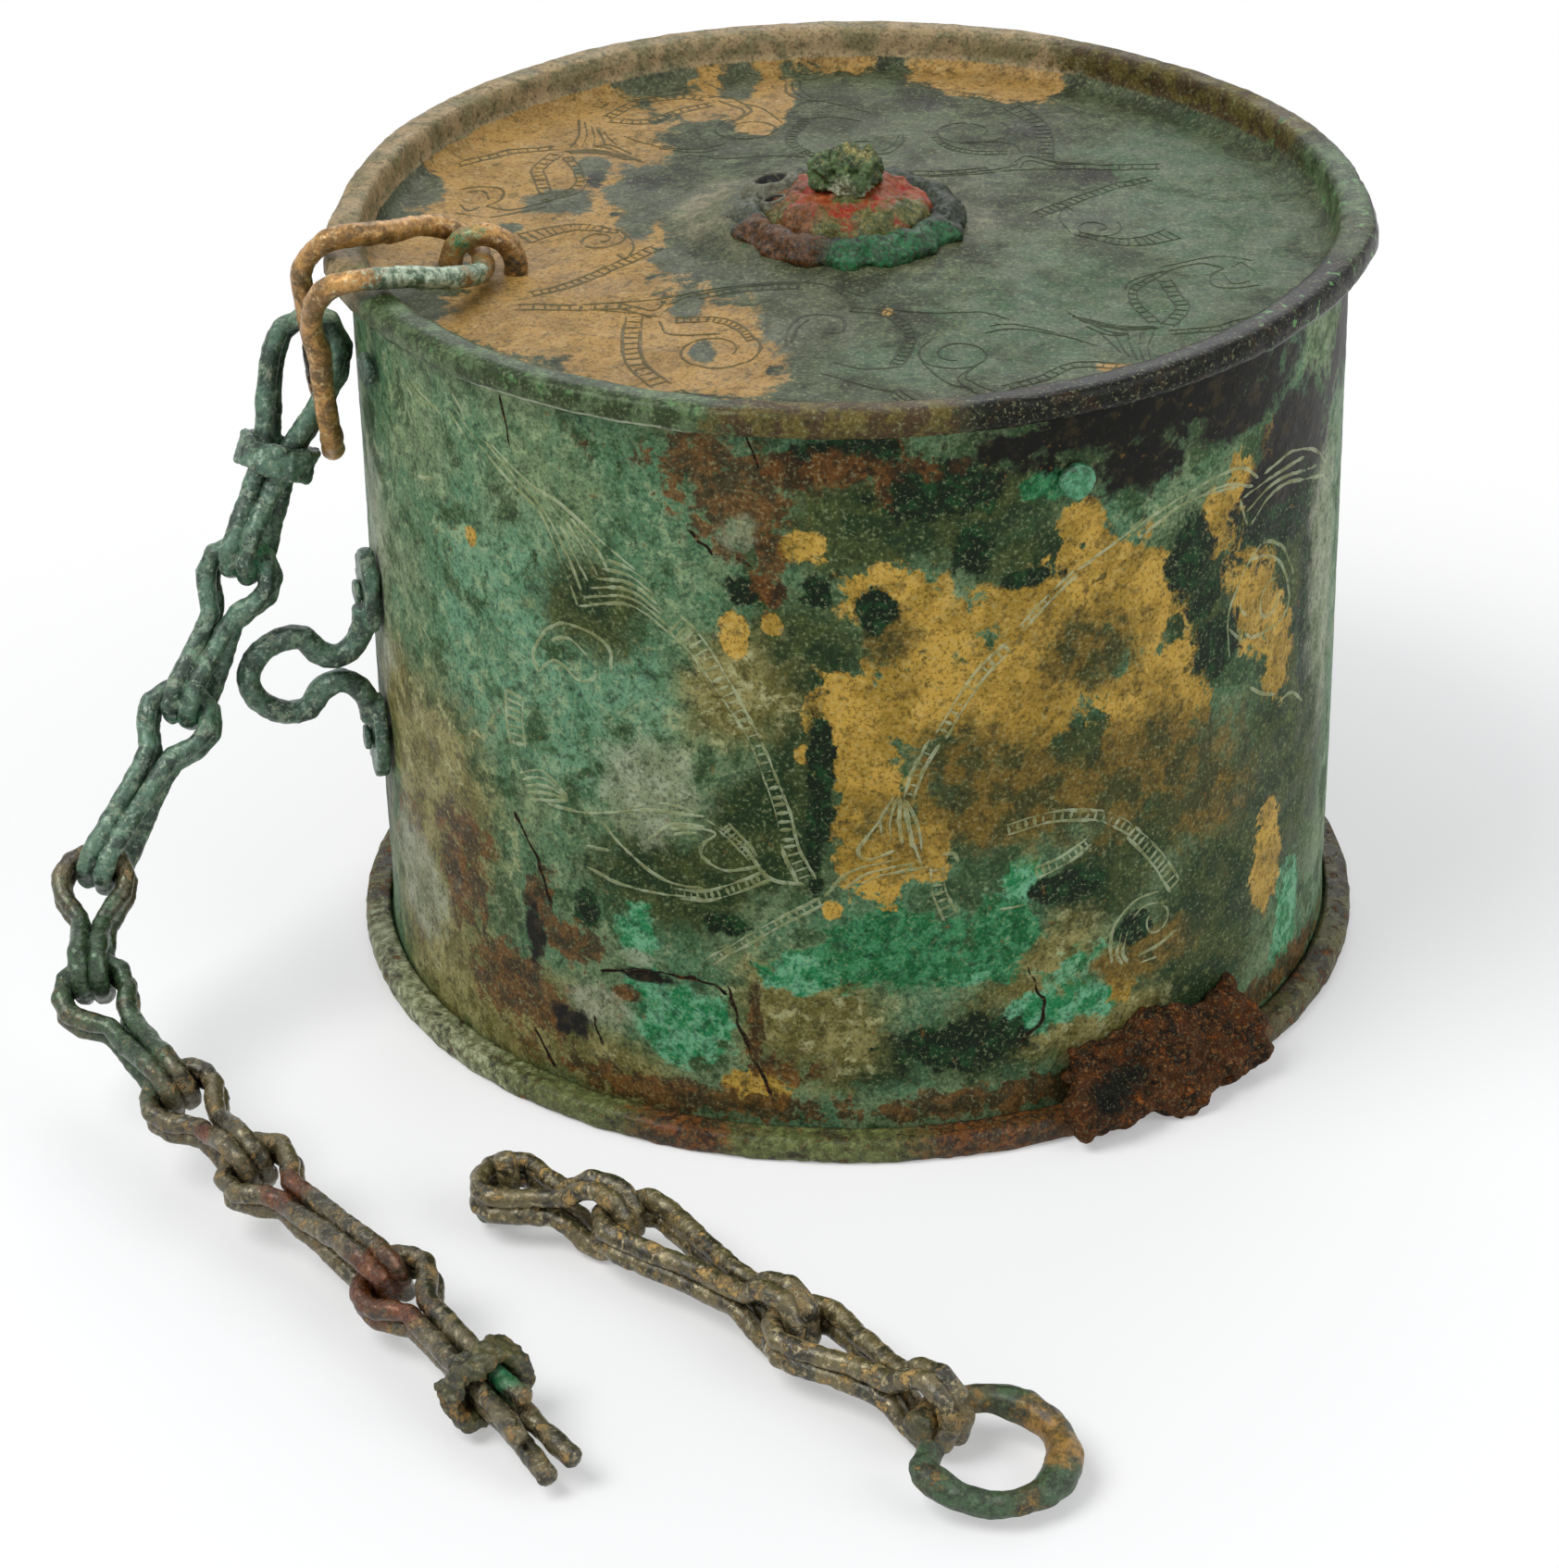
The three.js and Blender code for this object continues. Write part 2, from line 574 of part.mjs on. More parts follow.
// One of the four strands between a link's arches and its noses
function strandPoints(frame, side, layer, open) {
  const waist = LOOP_DEPTH / 2 + open;
  const run = frame.length - LOOP_DEPTH / 2 - waist;
  const close = LAY + WAIST_PLAY;
  return [
    frame.at(LOOP_DEPTH / 2 + open * 0.4, side * LOOP_HALF * SHOULDER_SHARE, layer * LAY),
    frame.at(waist, side * close, layer * close),
    frame.at(waist + run * 0.25, side * close, layer * (close + WAIST_PLAY)),
    frame.at(waist + run * 0.55, side * LAY, (layer * (LAY + LOOP_HALF)) / 2),
  ];
}

// A loop-in-loop link: a closed ring of wire, squeezed narrow and folded in half
function linkRing(frame, open = LOOP_OPEN) {
  const points = [];
  for (const layer of [1, -1]) {
    const side = -layer;
    const over = archPoints(frame, layer);
    const round = nosePoints(frame, side);
    points.push(...(layer === 1 ? over : over.reverse()));
    points.push(...strandPoints(frame, side, layer, open));
    points.push(...(layer === 1 ? round : round.reverse()));
    points.push(...strandPoints(frame, side, -layer, open).reverse());
  }
  return closedWire(points, LINK_WIRE / 2, LINK_STEPS);
}

// A wire tie wound round the waist of a link
function tieRing(frame, place) {
  const shape = circleShape(TIE_HOLE + 2 * TIE_WIRE_RADIUS, TIE_SIDES);
  shape.holes.push(circleShape(TIE_HOLE, TIE_SIDES));
  const ring = new THREE.ExtrudeGeometry(shape, { depth: TIE_LENGTH, bevelEnabled: false });
  ring.translate(0, 0, -TIE_LENGTH / 2);
  ring.applyMatrix4(new THREE.Matrix4().makeBasis(frame.across, frame.front, frame.along));
  const centre = frame.at(place, 0, 0);
  return ring.translate(centre.x, centre.y, centre.z);
}

// One layer of the broken last link: an arch with two legs of unequal length
function brokenLayer(frame, layer, legs) {
  const close = LAY + WAIST_PLAY;
  const legPoints = (side, length) => [
    frame.at(LOOP_DEPTH / 2 + LOOP_OPEN * 0.4, side * LOOP_HALF * SHOULDER_SHARE, layer * LAY),
    frame.at(LOOP_DEPTH / 2 + LOOP_OPEN, side * close, layer * close),
    frame.at(LOOP_DEPTH + LOOP_OPEN, side * close, layer * close),
    frame.at(length * 0.5, side * close, layer * close),
    frame.at(length * 0.7, side * close, layer * close),
    frame.at(length * 0.85, side * close, layer * close),
    frame.at(length, side * (close + BREAK_SPREAD), layer * (close + BREAK_SPREAD)),
  ];
  const right = legPoints(1, legs[0]).reverse();
  const left = legPoints(-1, legs[1]);
  return openWire([...right, ...archPoints(frame, layer), ...left], LINK_WIRE / 2, 34, LINK_SIDES);
}

// Terminal ring: stout wire bent round until its ends nearly meet, one of them a little inside the other
function terminalRing(grip, outward) {
  const side = vector(-outward.y, outward.x, 0);
  const centre = grip.clone().addScaledVector(outward, RING_RADIUS);
  const points = [];
  const steps = 14;
  for (let i = 0; i <= steps; i += 1) {
    const angle = radians(RING_GAP_FROM + (RING_SWEEP * i) / steps);
    const radius = i === 0 ? RING_RADIUS - RING_END_INSET : RING_RADIUS;
    const lift = -RING_TILT * 0.5 * (1 + Math.cos(angle));
    const point = centre.clone().addScaledVector(outward, radius * Math.cos(angle));
    point.addScaledVector(side, radius * Math.sin(angle));
    points.push(point.setZ(grip.z + lift));
  }
  return openWire(points, RING_WIRE_RADIUS, 36);
}

// Iron corrosion that has grown over the base rim and the foot of the wall
function ironLump() {
  const outer = BASE_RIM_RADIUS + CLEARANCE;
  const ring = turned([
    [FOLD_RADIUS, BEAD_HEIGHT + CLEARANCE],
    [outer, BEAD_HEIGHT + CLEARANCE],
    [outer, SHEET],
    [outer + LUMP_PROUD * 0.8, SHEET * 1.5],
    [outer + LUMP_PROUD, LUMP_HEIGHT * 0.35],
    [outer + LUMP_PROUD * 0.3, LUMP_HEIGHT * 0.7],
    [FOLD_RADIUS + 1.3, LUMP_HEIGHT],
    [FOLD_RADIUS, LUMP_HEIGHT],
    [FOLD_RADIUS, BEAD_HEIGHT + CLEARANCE],
  ]);
  const wedge = new THREE.Shape();
  const far = BASE_RIM_RADIUS * 1.5;
  const low = around(LUMP_FROM_AZIMUTH, far, 0);
  const middle = around((LUMP_FROM_AZIMUTH + LUMP_TO_AZIMUTH) / 2, far, 0);
  const high = around(LUMP_TO_AZIMUTH, far, 0);
  const corners = [vector(0, 0, 0), low, middle, high];
  wedge.setFromPoints(corners.map((point) => new THREE.Vector2(point.x, point.y)));
  const prism = new THREE.ExtrudeGeometry(wedge, { depth: BOX_HEIGHT, bevelEnabled: false });
  prism.translate(0, 0, -1);
  return geometryOf(solidOf(ring).intersect(solidOf(prism)));
}

const object = new THREE.Group();

function addPiece(name, geometry, look) {
  const material = new THREE.MeshStandardMaterial(look);
  const mesh = new THREE.Mesh(geometry, material);
  mesh.name = name;
  object.add(mesh);
}

const GREEN_BRONZE = { color: 0x4c6b50, roughness: 0.75, metalness: 0.35 };
const BROWN_BRONZE = { color: 0x6b5a33, roughness: 0.65, metalness: 0.5 };
const GOLDEN_BRONZE = { color: 0xa07a3c, roughness: 0.5, metalness: 0.6 };
const RED_ENAMEL = { color: 0xa03a20, roughness: 0.4, metalness: 0 };
const IRON_RUST = { color: 0x5a3520, roughness: 0.9, metalness: 0.1 };

addPiece("body_wall", wallBody(), GREEN_BRONZE);
addPiece("lid", lidBody(), GOLDEN_BRONZE);
addPiece("base", baseBody(), GREEN_BRONZE);
addPiece("boss_collar", bossCollar(), GREEN_BRONZE);
addPiece("enamel_dome", enamelDome(), RED_ENAMEL);
addPiece("boss_rivet", bossRivet(), GREEN_BRONZE);
addPiece("boss_rove", bossRove(), BROWN_BRONZE);
addPiece("lid_staple", lidStaple(), GOLDEN_BRONZE);
for (const [side, azimuth] of Object.entries(WALL_RIVET_AZIMUTHS)) {
  const rivet = radialRivet(
    azimuth, wallRivetHeight(), WALL_RADIUS, WALL_PIN_RADIUS, WALL_HEAD_RADIUS, WALL_HEAD_THICKNESS);
  addPiece(`wall_rivet_${side}`, rivet, GREEN_BRONZE);
}
addPiece("side_loop", sideLoop(), GREEN_BRONZE);
for (const [place, side] of [["upper", 1], ["lower", -1]]) {
  const z = SIDE_HEIGHT + side * PAD_OFFSET;
  const seat = WALL_RADIUS + CLEARANCE + PAD_THICKNESS;
  const rivet = radialRivet(SIDE_AZIMUTH, z, seat, PAD_PIN_RADIUS, PAD_HEAD_RADIUS, PAD_HEAD_THICKNESS);
  addPiece(`side_loop_rivet_${place}`, rivet, GREEN_BRONZE);
}
addPiece("shackle", closedWire(SHACKLE_ROUTE, SHACKLE_WIRE_RADIUS, 60, 6), GOLDEN_BRONZE);

const hangingFrames = chainFrames(HANGING_JOINTS, HANGING_FRONT);
const endFrame = hangingFrames.pop();
hangingFrames.forEach((frame, i) => {
  const ring = linkRing(frame, i === 0 ? FIRST_LOOP_OPEN : LOOP_OPEN);
  addPiece(`link_${i + 1}`, ring, i < 3 ? GREEN_BRONZE : BROWN_BRONZE);
});

const firstTie = tieRing(hangingFrames[0], LOOP_DEPTH / 2 + FIRST_LOOP_OPEN);
addPiece("link_1_tie", firstTie, GREEN_BRONZE);
addPiece("link_8_front", brokenLayer(endFrame, 1, BROKEN_FRONT_LEGS), BROWN_BRONZE);
addPiece("link_8_back", brokenLayer(endFrame, -1, BROKEN_BACK_LEGS), BROWN_BRONZE);
addPiece("link_8_tie", tieRing(endFrame, endFrame.length - END_TIE_INSET), GREEN_BRONZE);

const looseFrames = chainFrames(LOOSE_JOINTS, LOOSE_FRONT);
looseFrames.forEach((frame, i) => {
  addPiece(`loose_link_${looseFrames.length - i}`, linkRing(frame), BROWN_BRONZE);
});

// What is left of the next link's wire stands through the noses of the last loose link
const stubAt = LOOSE_JOINTS[LOOSE_JOINTS.length - 1];
const stub = openWire([
  vector(stubAt.x - LINK_WIRE, stubAt.y - CLEARANCE, LINK_WIRE / 2 + CLEARANCE),
  vector(stubAt.x + LINK_WIRE / 2, stubAt.y - CLEARANCE, LYING_HEIGHT - LINK_WIRE * 1.2),
  vector(stubAt.x + LINK_WIRE * 0.8, stubAt.y - LINK_WIRE * 0.3, LYING_HEIGHT + CLEARANCE),
  vector(stubAt.x + LINK_WIRE / 2, stubAt.y, LYING_HEIGHT + LINK_WIRE * 2),
], LINK_WIRE / 2, 8);
addPiece("loose_stub", stub, BROWN_BRONZE);

const ringGrip = looseFrames[0].at(RING_SEAT, 0, 0);
const ringOutward = looseFrames[0].along.clone().negate();
addPiece("terminal_ring", terminalRing(ringGrip, ringOutward), BROWN_BRONZE);
addPiece("iron_lump", ironLump(), IRON_RUST);

export default object;
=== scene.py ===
import json
import math

import bpy
import numpy as np
from mathutils import Matrix, Vector


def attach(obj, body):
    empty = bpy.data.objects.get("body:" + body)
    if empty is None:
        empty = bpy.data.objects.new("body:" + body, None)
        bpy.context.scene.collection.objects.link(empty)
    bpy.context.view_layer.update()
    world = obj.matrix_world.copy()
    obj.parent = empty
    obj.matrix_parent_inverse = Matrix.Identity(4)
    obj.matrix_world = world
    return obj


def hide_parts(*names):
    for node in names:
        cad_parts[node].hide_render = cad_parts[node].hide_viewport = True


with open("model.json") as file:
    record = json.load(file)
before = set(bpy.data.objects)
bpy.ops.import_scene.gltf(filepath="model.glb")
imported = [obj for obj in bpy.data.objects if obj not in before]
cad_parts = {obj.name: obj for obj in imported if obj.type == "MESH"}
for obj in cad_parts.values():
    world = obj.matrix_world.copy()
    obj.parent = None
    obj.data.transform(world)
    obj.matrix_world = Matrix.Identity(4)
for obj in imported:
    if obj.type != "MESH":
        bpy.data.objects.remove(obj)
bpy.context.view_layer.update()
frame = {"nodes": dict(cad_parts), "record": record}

# sizes of the box in millimetres
MM = 0.001
SHEET = 0.6
CLEARANCE = 0.3
BOX_HEIGHT = 70.6
WALL_RADIUS = 43.8
BORE_RADIUS = WALL_RADIUS - SHEET
LID_RIM_RADIUS = WALL_RADIUS + 1.6
BASE_RIM_RADIUS = WALL_RADIUS + 2.6
FOLD_RADIUS = WALL_RADIUS + CLEARANCE
FLANGE_INSET = SHEET + CLEARANCE
RIM_INNER = BORE_RADIUS - CLEARANCE - SHEET
BEAD_HEIGHT = 2.4
LID_CORNER = 2.0
LID_TOP = BOX_HEIGHT - 3.6
LID_CENTRE_TOP = LID_TOP + 0.8
PLATE_OUTLINE = [(1.1, LID_CENTRE_TOP), (11.5, LID_CENTRE_TOP), (19.7, LID_TOP + 0.36), (28, LID_TOP)]
COLLAR_RADIUS = 10.5
SEAM_AZIMUTH = 90
FLOOR_GAP = 0.02

# how finely the turned pieces are divided, and the hole that a disc's centre leaves
ROUND_STEPS = 640
BASE_STEPS = 560
CORNER_STEPS = 8
BASE_HUB = 0.5

# the camera's place in millimetres and its pitch, roll and yaw in radians
CAMERA_PLACE = (4.8937, -378.1328, 223.4162)
CAMERA_TURNS = (0.50986, -0.02336, -0.03178)
FOCAL_PIXELS = 4994.75
PHOTO_HEIGHT = 1694.0
SENSOR_HEIGHT = 36.0

# the stage in metres
FLOOR_HALF = 4.0
FLOOR_MIDDLE = (0.0, -0.02, 0.0)
SHADOWS_END = (0.06, 0.15)


# camera, light and stage
def add_camera():
    data = bpy.data.cameras.new("camera")
    data.sensor_fit = "VERTICAL"
    data.sensor_height = SENSOR_HEIGHT
    data.lens = FOCAL_PIXELS * SENSOR_HEIGHT / PHOTO_HEIGHT
    data.clip_start = 0.02
    data.clip_end = 20.0
    obj = bpy.data.objects.new("camera", data)
    pitch, roll, yaw = CAMERA_TURNS
    ahead = Vector((math.sin(yaw) * math.cos(pitch), math.cos(yaw) * math.cos(pitch), -math.sin(pitch)))
    level = Vector((math.cos(yaw), -math.sin(yaw), 0.0))
    top = level.cross(ahead)
    right = math.cos(roll) * level + math.sin(roll) * top
    up = -math.sin(roll) * level + math.cos(roll) * top
    turn = Matrix((right, up, -ahead)).transposed().to_4x4()
    obj.matrix_world = Matrix.Translation(Vector(CAMERA_PLACE) * MM) @ turn
    bpy.context.collection.objects.link(obj)
    bpy.context.scene.camera = obj


def add_lamp(name, place, target, size, power):
    data = bpy.data.lights.new(name, "AREA")
    data.shape = "DISK"
    data.size = size
    data.energy = power
    obj = bpy.data.objects.new(name, data)
    away = (Vector(target) - Vector(place)).normalized()
    obj.matrix_world = Matrix.Translation(place) @ away.to_track_quat("-Z", "Y").to_matrix().to_4x4()
    bpy.context.collection.objects.link(obj)


def fresh_tree(owner):
    owner.use_nodes = True
    owner.node_tree.nodes.clear()
    return owner.node_tree


def feed(tree, node, inputs):
    """Sets a node's inputs to values or links them to sockets."""
    for key, value in inputs.items():
        if isinstance(value, bpy.types.NodeSocket):
            tree.links.new(value, node.inputs[key])
        else:
            node.inputs[key].default_value = value


def added(tree, kind, inputs=None, **settings):
    """A new shader node with its settings and its inputs."""
    node = tree.nodes.new("ShaderNode" + kind)
    for key, value in settings.items():
        setattr(node, key, value)
    feed(tree, node, inputs or {})
    return node


def seen_or_mirrored(tree):
    """1 for what the camera sees, straight, mirrored or through glass, and 0 for light on the object."""
    path = added(tree, "LightPath")
    total = path.outputs["Is Camera Ray"]
    for ray in ("Is Glossy Ray", "Is Transmission Ray"):
        total = added(tree, "Math", {0: total, 1: path.outputs[ray]}, operation="MAXIMUM").outputs[0]
    return total


def backdrop_material(name, colour):
    """White paper: shadows near the object, plain white to the camera further out."""
    mat = bpy.data.materials.new(name)
    tree = fresh_tree(mat)
    paper = added(tree, "BsdfPrincipled", {"Base Color": colour, "Roughness": 0.9, "Specular IOR Level": 0.1})
    glow = added(tree, "Emission", {"Color": (1.0, 1.0, 1.0, 1.0)})
    place = added(tree, "TexCoord")
    reach = added(tree, "VectorMath", {0: place.outputs["Object"], 1: FLOOR_MIDDLE}, operation="DISTANCE")
    near, far = SHADOWS_END
    share = added(tree, "MapRange", {"Value": reach.outputs["Value"], "From Min": near, "From Max": far,
                                     "To Min": 0.3, "To Max": 1.0}, interpolation_type="SMOOTHSTEP")
    seen = added(tree, "Math", {0: share.outputs[0], 1: seen_or_mirrored(tree)}, operation="MULTIPLY")
    mixed = added(tree, "MixShader", {0: seen.outputs[0], 1: paper.outputs[0], 2: glow.outputs[0]})
    added(tree, "OutputMaterial", {0: mixed.outputs[0]})
    return mat


def add_stage():
    mesh = bpy.data.meshes.new("floor")
    half = FLOOR_HALF
    corners = [(-half, -half, 0), (half, -half, 0), (half, half, 0), (-half, half, 0)]
    mesh.from_pydata(corners, [], [(0, 1, 2, 3)])
    floor = bpy.data.objects.new("floor", mesh)
    mesh.materials.append(backdrop_material("floor_paper", (0.93, 0.93, 0.93, 1.0)))
    bpy.context.collection.objects.link(floor)


def add_world():
    world = bpy.data.worlds.new("studio")
    bpy.context.scene.world = world
    tree = fresh_tree(world)
    strength = added(tree, "MapRange", {"Value": seen_or_mirrored(tree), "To Min": 0.45, "To Max": 1.0})
    sky = added(tree, "Background", {"Color": (0.93, 0.95, 1.0, 1.0), "Strength": strength.outputs[0]})
    added(tree, "OutputWorld", {0: sky.outputs[0]})


# noise for shapes
def hashed(i, j, k, seed):
    n = (i * 374761393 + j * 668265263 + k * 2147483647 + seed * 1274126177) & 0xFFFFFFFF
    n = ((n ^ (n >> 13)) * 1103515245) & 0xFFFFFFFF
    n = ((n ^ (n >> 16)) * 2654435761) & 0xFFFFFFFF
    return ((n ^ (n >> 15)) & 0xFFFF) / 32767.5 - 1.0


def value_noise(points, size, seed):
    """Smooth noise between -1 and 1 at points given in millimetres; size is the width of a bump."""
    p = np.asarray(points, float) / size
    cell = np.floor(p).astype(np.int64)
    f = p - cell
    f = f * f * f * (f * (f * 6 - 15) + 10)
    total = np.zeros(len(p))
    for dx in (0, 1):
        wx = f[:, 0] if dx else 1 - f[:, 0]
        for dy in (0, 1):
            wy = f[:, 1] if dy else 1 - f[:, 1]
            for dz in (0, 1):
                wz = f[:, 2] if dz else 1 - f[:, 2]
                total += wx * wy * wz * hashed(cell[:, 0] + dx, cell[:, 1] + dy, cell[:, 2] + dz, seed)
    return total


def fractal(points, size, octaves, seed):
    total = np.zeros(len(points))
    share = 1.0
    whole = 0.0
    for i in range(octaves):
        total += share * value_noise(points, size / 2 ** i, seed + 17 * i)
        whole += share
        share *= 0.5
    return total / whole


def smooth_step(low, high, x):
    t = np.clip((x - low) / (high - low), 0, 1)
    return t * t * (3 - 2 * t)


# building meshes
def new_piece(name, verts, faces, material, body, replaced=(), fields=None):
    """A smooth piece from points in millimetres, riding on a body; fields hold a value for each point."""
    mesh = bpy.data.meshes.new(name)
    mesh.from_pydata((np.asarray(verts) * MM).tolist(), [], faces)
    mesh.validate()
    for key, values in (fields or {}).items():
        mesh.attributes.new(key, "FLOAT", "POINT").data.foreach_set("value", np.asarray(values, np.float32))
    mesh.polygons.foreach_set("use_smooth", [True] * len(mesh.polygons))
    mesh.materials.append(material)
    obj = bpy.data.objects.new(name, mesh)
    bpy.context.collection.objects.link(obj)
    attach(obj, body)
    if replaced:
        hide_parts(*replaced)
    return obj


def turned(profile, steps, closed=True):
    """Points and faces of a profile of [radius, z] turned about the axis."""
    profile = np.asarray(profile, float)
    count = len(profile)
    angles = np.linspace(0, 2 * np.pi, steps, endpoint=False)
    radius = np.repeat(profile[None, :, 0], steps, 0)
    height = np.repeat(profile[None, :, 1], steps, 0)
    verts = np.stack([radius * np.cos(angles)[:, None], radius * np.sin(angles)[:, None], height], -1)
    faces = []
    last = count if closed else count - 1
    for i in range(steps):
        j = (i + 1) % steps
        for a in range(last):
            b = (a + 1) % count
            faces.append((i * count + a, j * count + a, j * count + b, i * count + b))
    return verts.reshape(-1, 3), faces


def normals_of(verts, faces):
    quads = np.asarray([f if len(f) == 4 else (*f, f[-1]) for f in faces])
    across = verts[quads[:, 2]] - verts[quads[:, 0]]
    down = verts[quads[:, 3]] - verts[quads[:, 1]]
    face_normals = np.cross(across, down)
    normals = np.zeros_like(verts)
    for k in range(4):
        np.add.at(normals, quads[:, k], face_normals)
    return normals / np.maximum(np.linalg.norm(normals, axis=1, keepdims=True), 1e-12)


def remeshed(node, voxel):
    """A fine, even mesh of a CAD node's shape, in millimetres."""
    source = frame["nodes"][node]
    mesh = source.data.copy()
    obj = bpy.data.objects.new(node + "_work", mesh)
    bpy.context.collection.objects.link(obj)
    remesh = obj.modifiers.new("remesh", "REMESH")
    remesh.mode = "VOXEL"
    remesh.voxel_size = voxel * MM
    graph = bpy.context.evaluated_depsgraph_get()
    done = obj.evaluated_get(graph).to_mesh()
    verts = np.zeros(len(done.vertices) * 3)
    done.vertices.foreach_get("co", verts)
    faces = [tuple(p.vertices) for p in done.polygons]
    edges = np.zeros(len(done.edges) * 2, int)
    done.edges.foreach_get("vertices", edges)
    obj.to_mesh_clear()
    bpy.data.objects.remove(obj)
    bpy.data.meshes.remove(mesh)
    return verts.reshape(-1, 3) / MM, faces, edges.reshape(-1, 2)


def relaxed(verts, edges, rounds, keep=0.52):
    """Rounds off the facets without shrinking the shape."""
    degree = np.zeros(len(verts))
    np.add.at(degree, edges[:, 0], 1)
    np.add.at(degree, edges[:, 1], 1)
    for i in range(rounds * 2):
        total = np.zeros_like(verts)
        np.add.at(total, edges[:, 0], verts[edges[:, 1]])
        np.add.at(total, edges[:, 1], verts[edges[:, 0]])
        step = 0.5 if i % 2 == 0 else -keep
        verts = verts + step * (total / degree[:, None] - verts)
    return verts


def ball_field(points, balls):
    """How deep each point lies in the nearest of some balls: 1 at a centre, 0.5 at a ball's skin."""
    deepest = np.zeros(len(points))
    for x, y, z, radius in balls:
        deepest = np.maximum(deepest, 1 - 0.5 * np.linalg.norm(points - (x, y, z), axis=1) / radius)
    return deepest


def weathered(name, node, body, material, slot, zones, seed, voxel, rounds=5, swell=0.1, lumps=0.12,
              grain=0.05, lump_size=1.6, thick=0.0):
    """A piece that stands for a CAD node: its shape rounded off, thickened by corrosion and roughened."""
    verts, faces, edges = remeshed(node, voxel)
    verts = relaxed(verts, edges, rounds)
    normals = normals_of(verts, faces)
    fields = {key: ball_field(verts, balls) for key, balls in zones.items()}
    rough = lumps * fractal(verts, lump_size, 2, seed) + grain * fractal(verts, lump_size * 0.35, 2, seed + 5)
    if "seat" in fields:
        rough += thick * smooth_step(0.35, 0.8, fields["seat"])
    verts = verts + normals * (swell + rough)[:, None]
    verts[:, 2] = np.maximum(verts[:, 2], FLOOR_GAP)
    return new_piece(name, verts, faces, material, body, (node,), fields)


# materials
def shown(colour):
    """A socket as it is, or a colour worked out from the three 0 to 255 values that it shows as."""
    if isinstance(colour, bpy.types.NodeSocket):
        return colour
    parts = [c / 255.0 for c in colour]
    return tuple(c / 12.92 if c <= 0.04045 else ((c + 0.055) / 1.055) ** 2.4 for c in parts) + (1.0,)


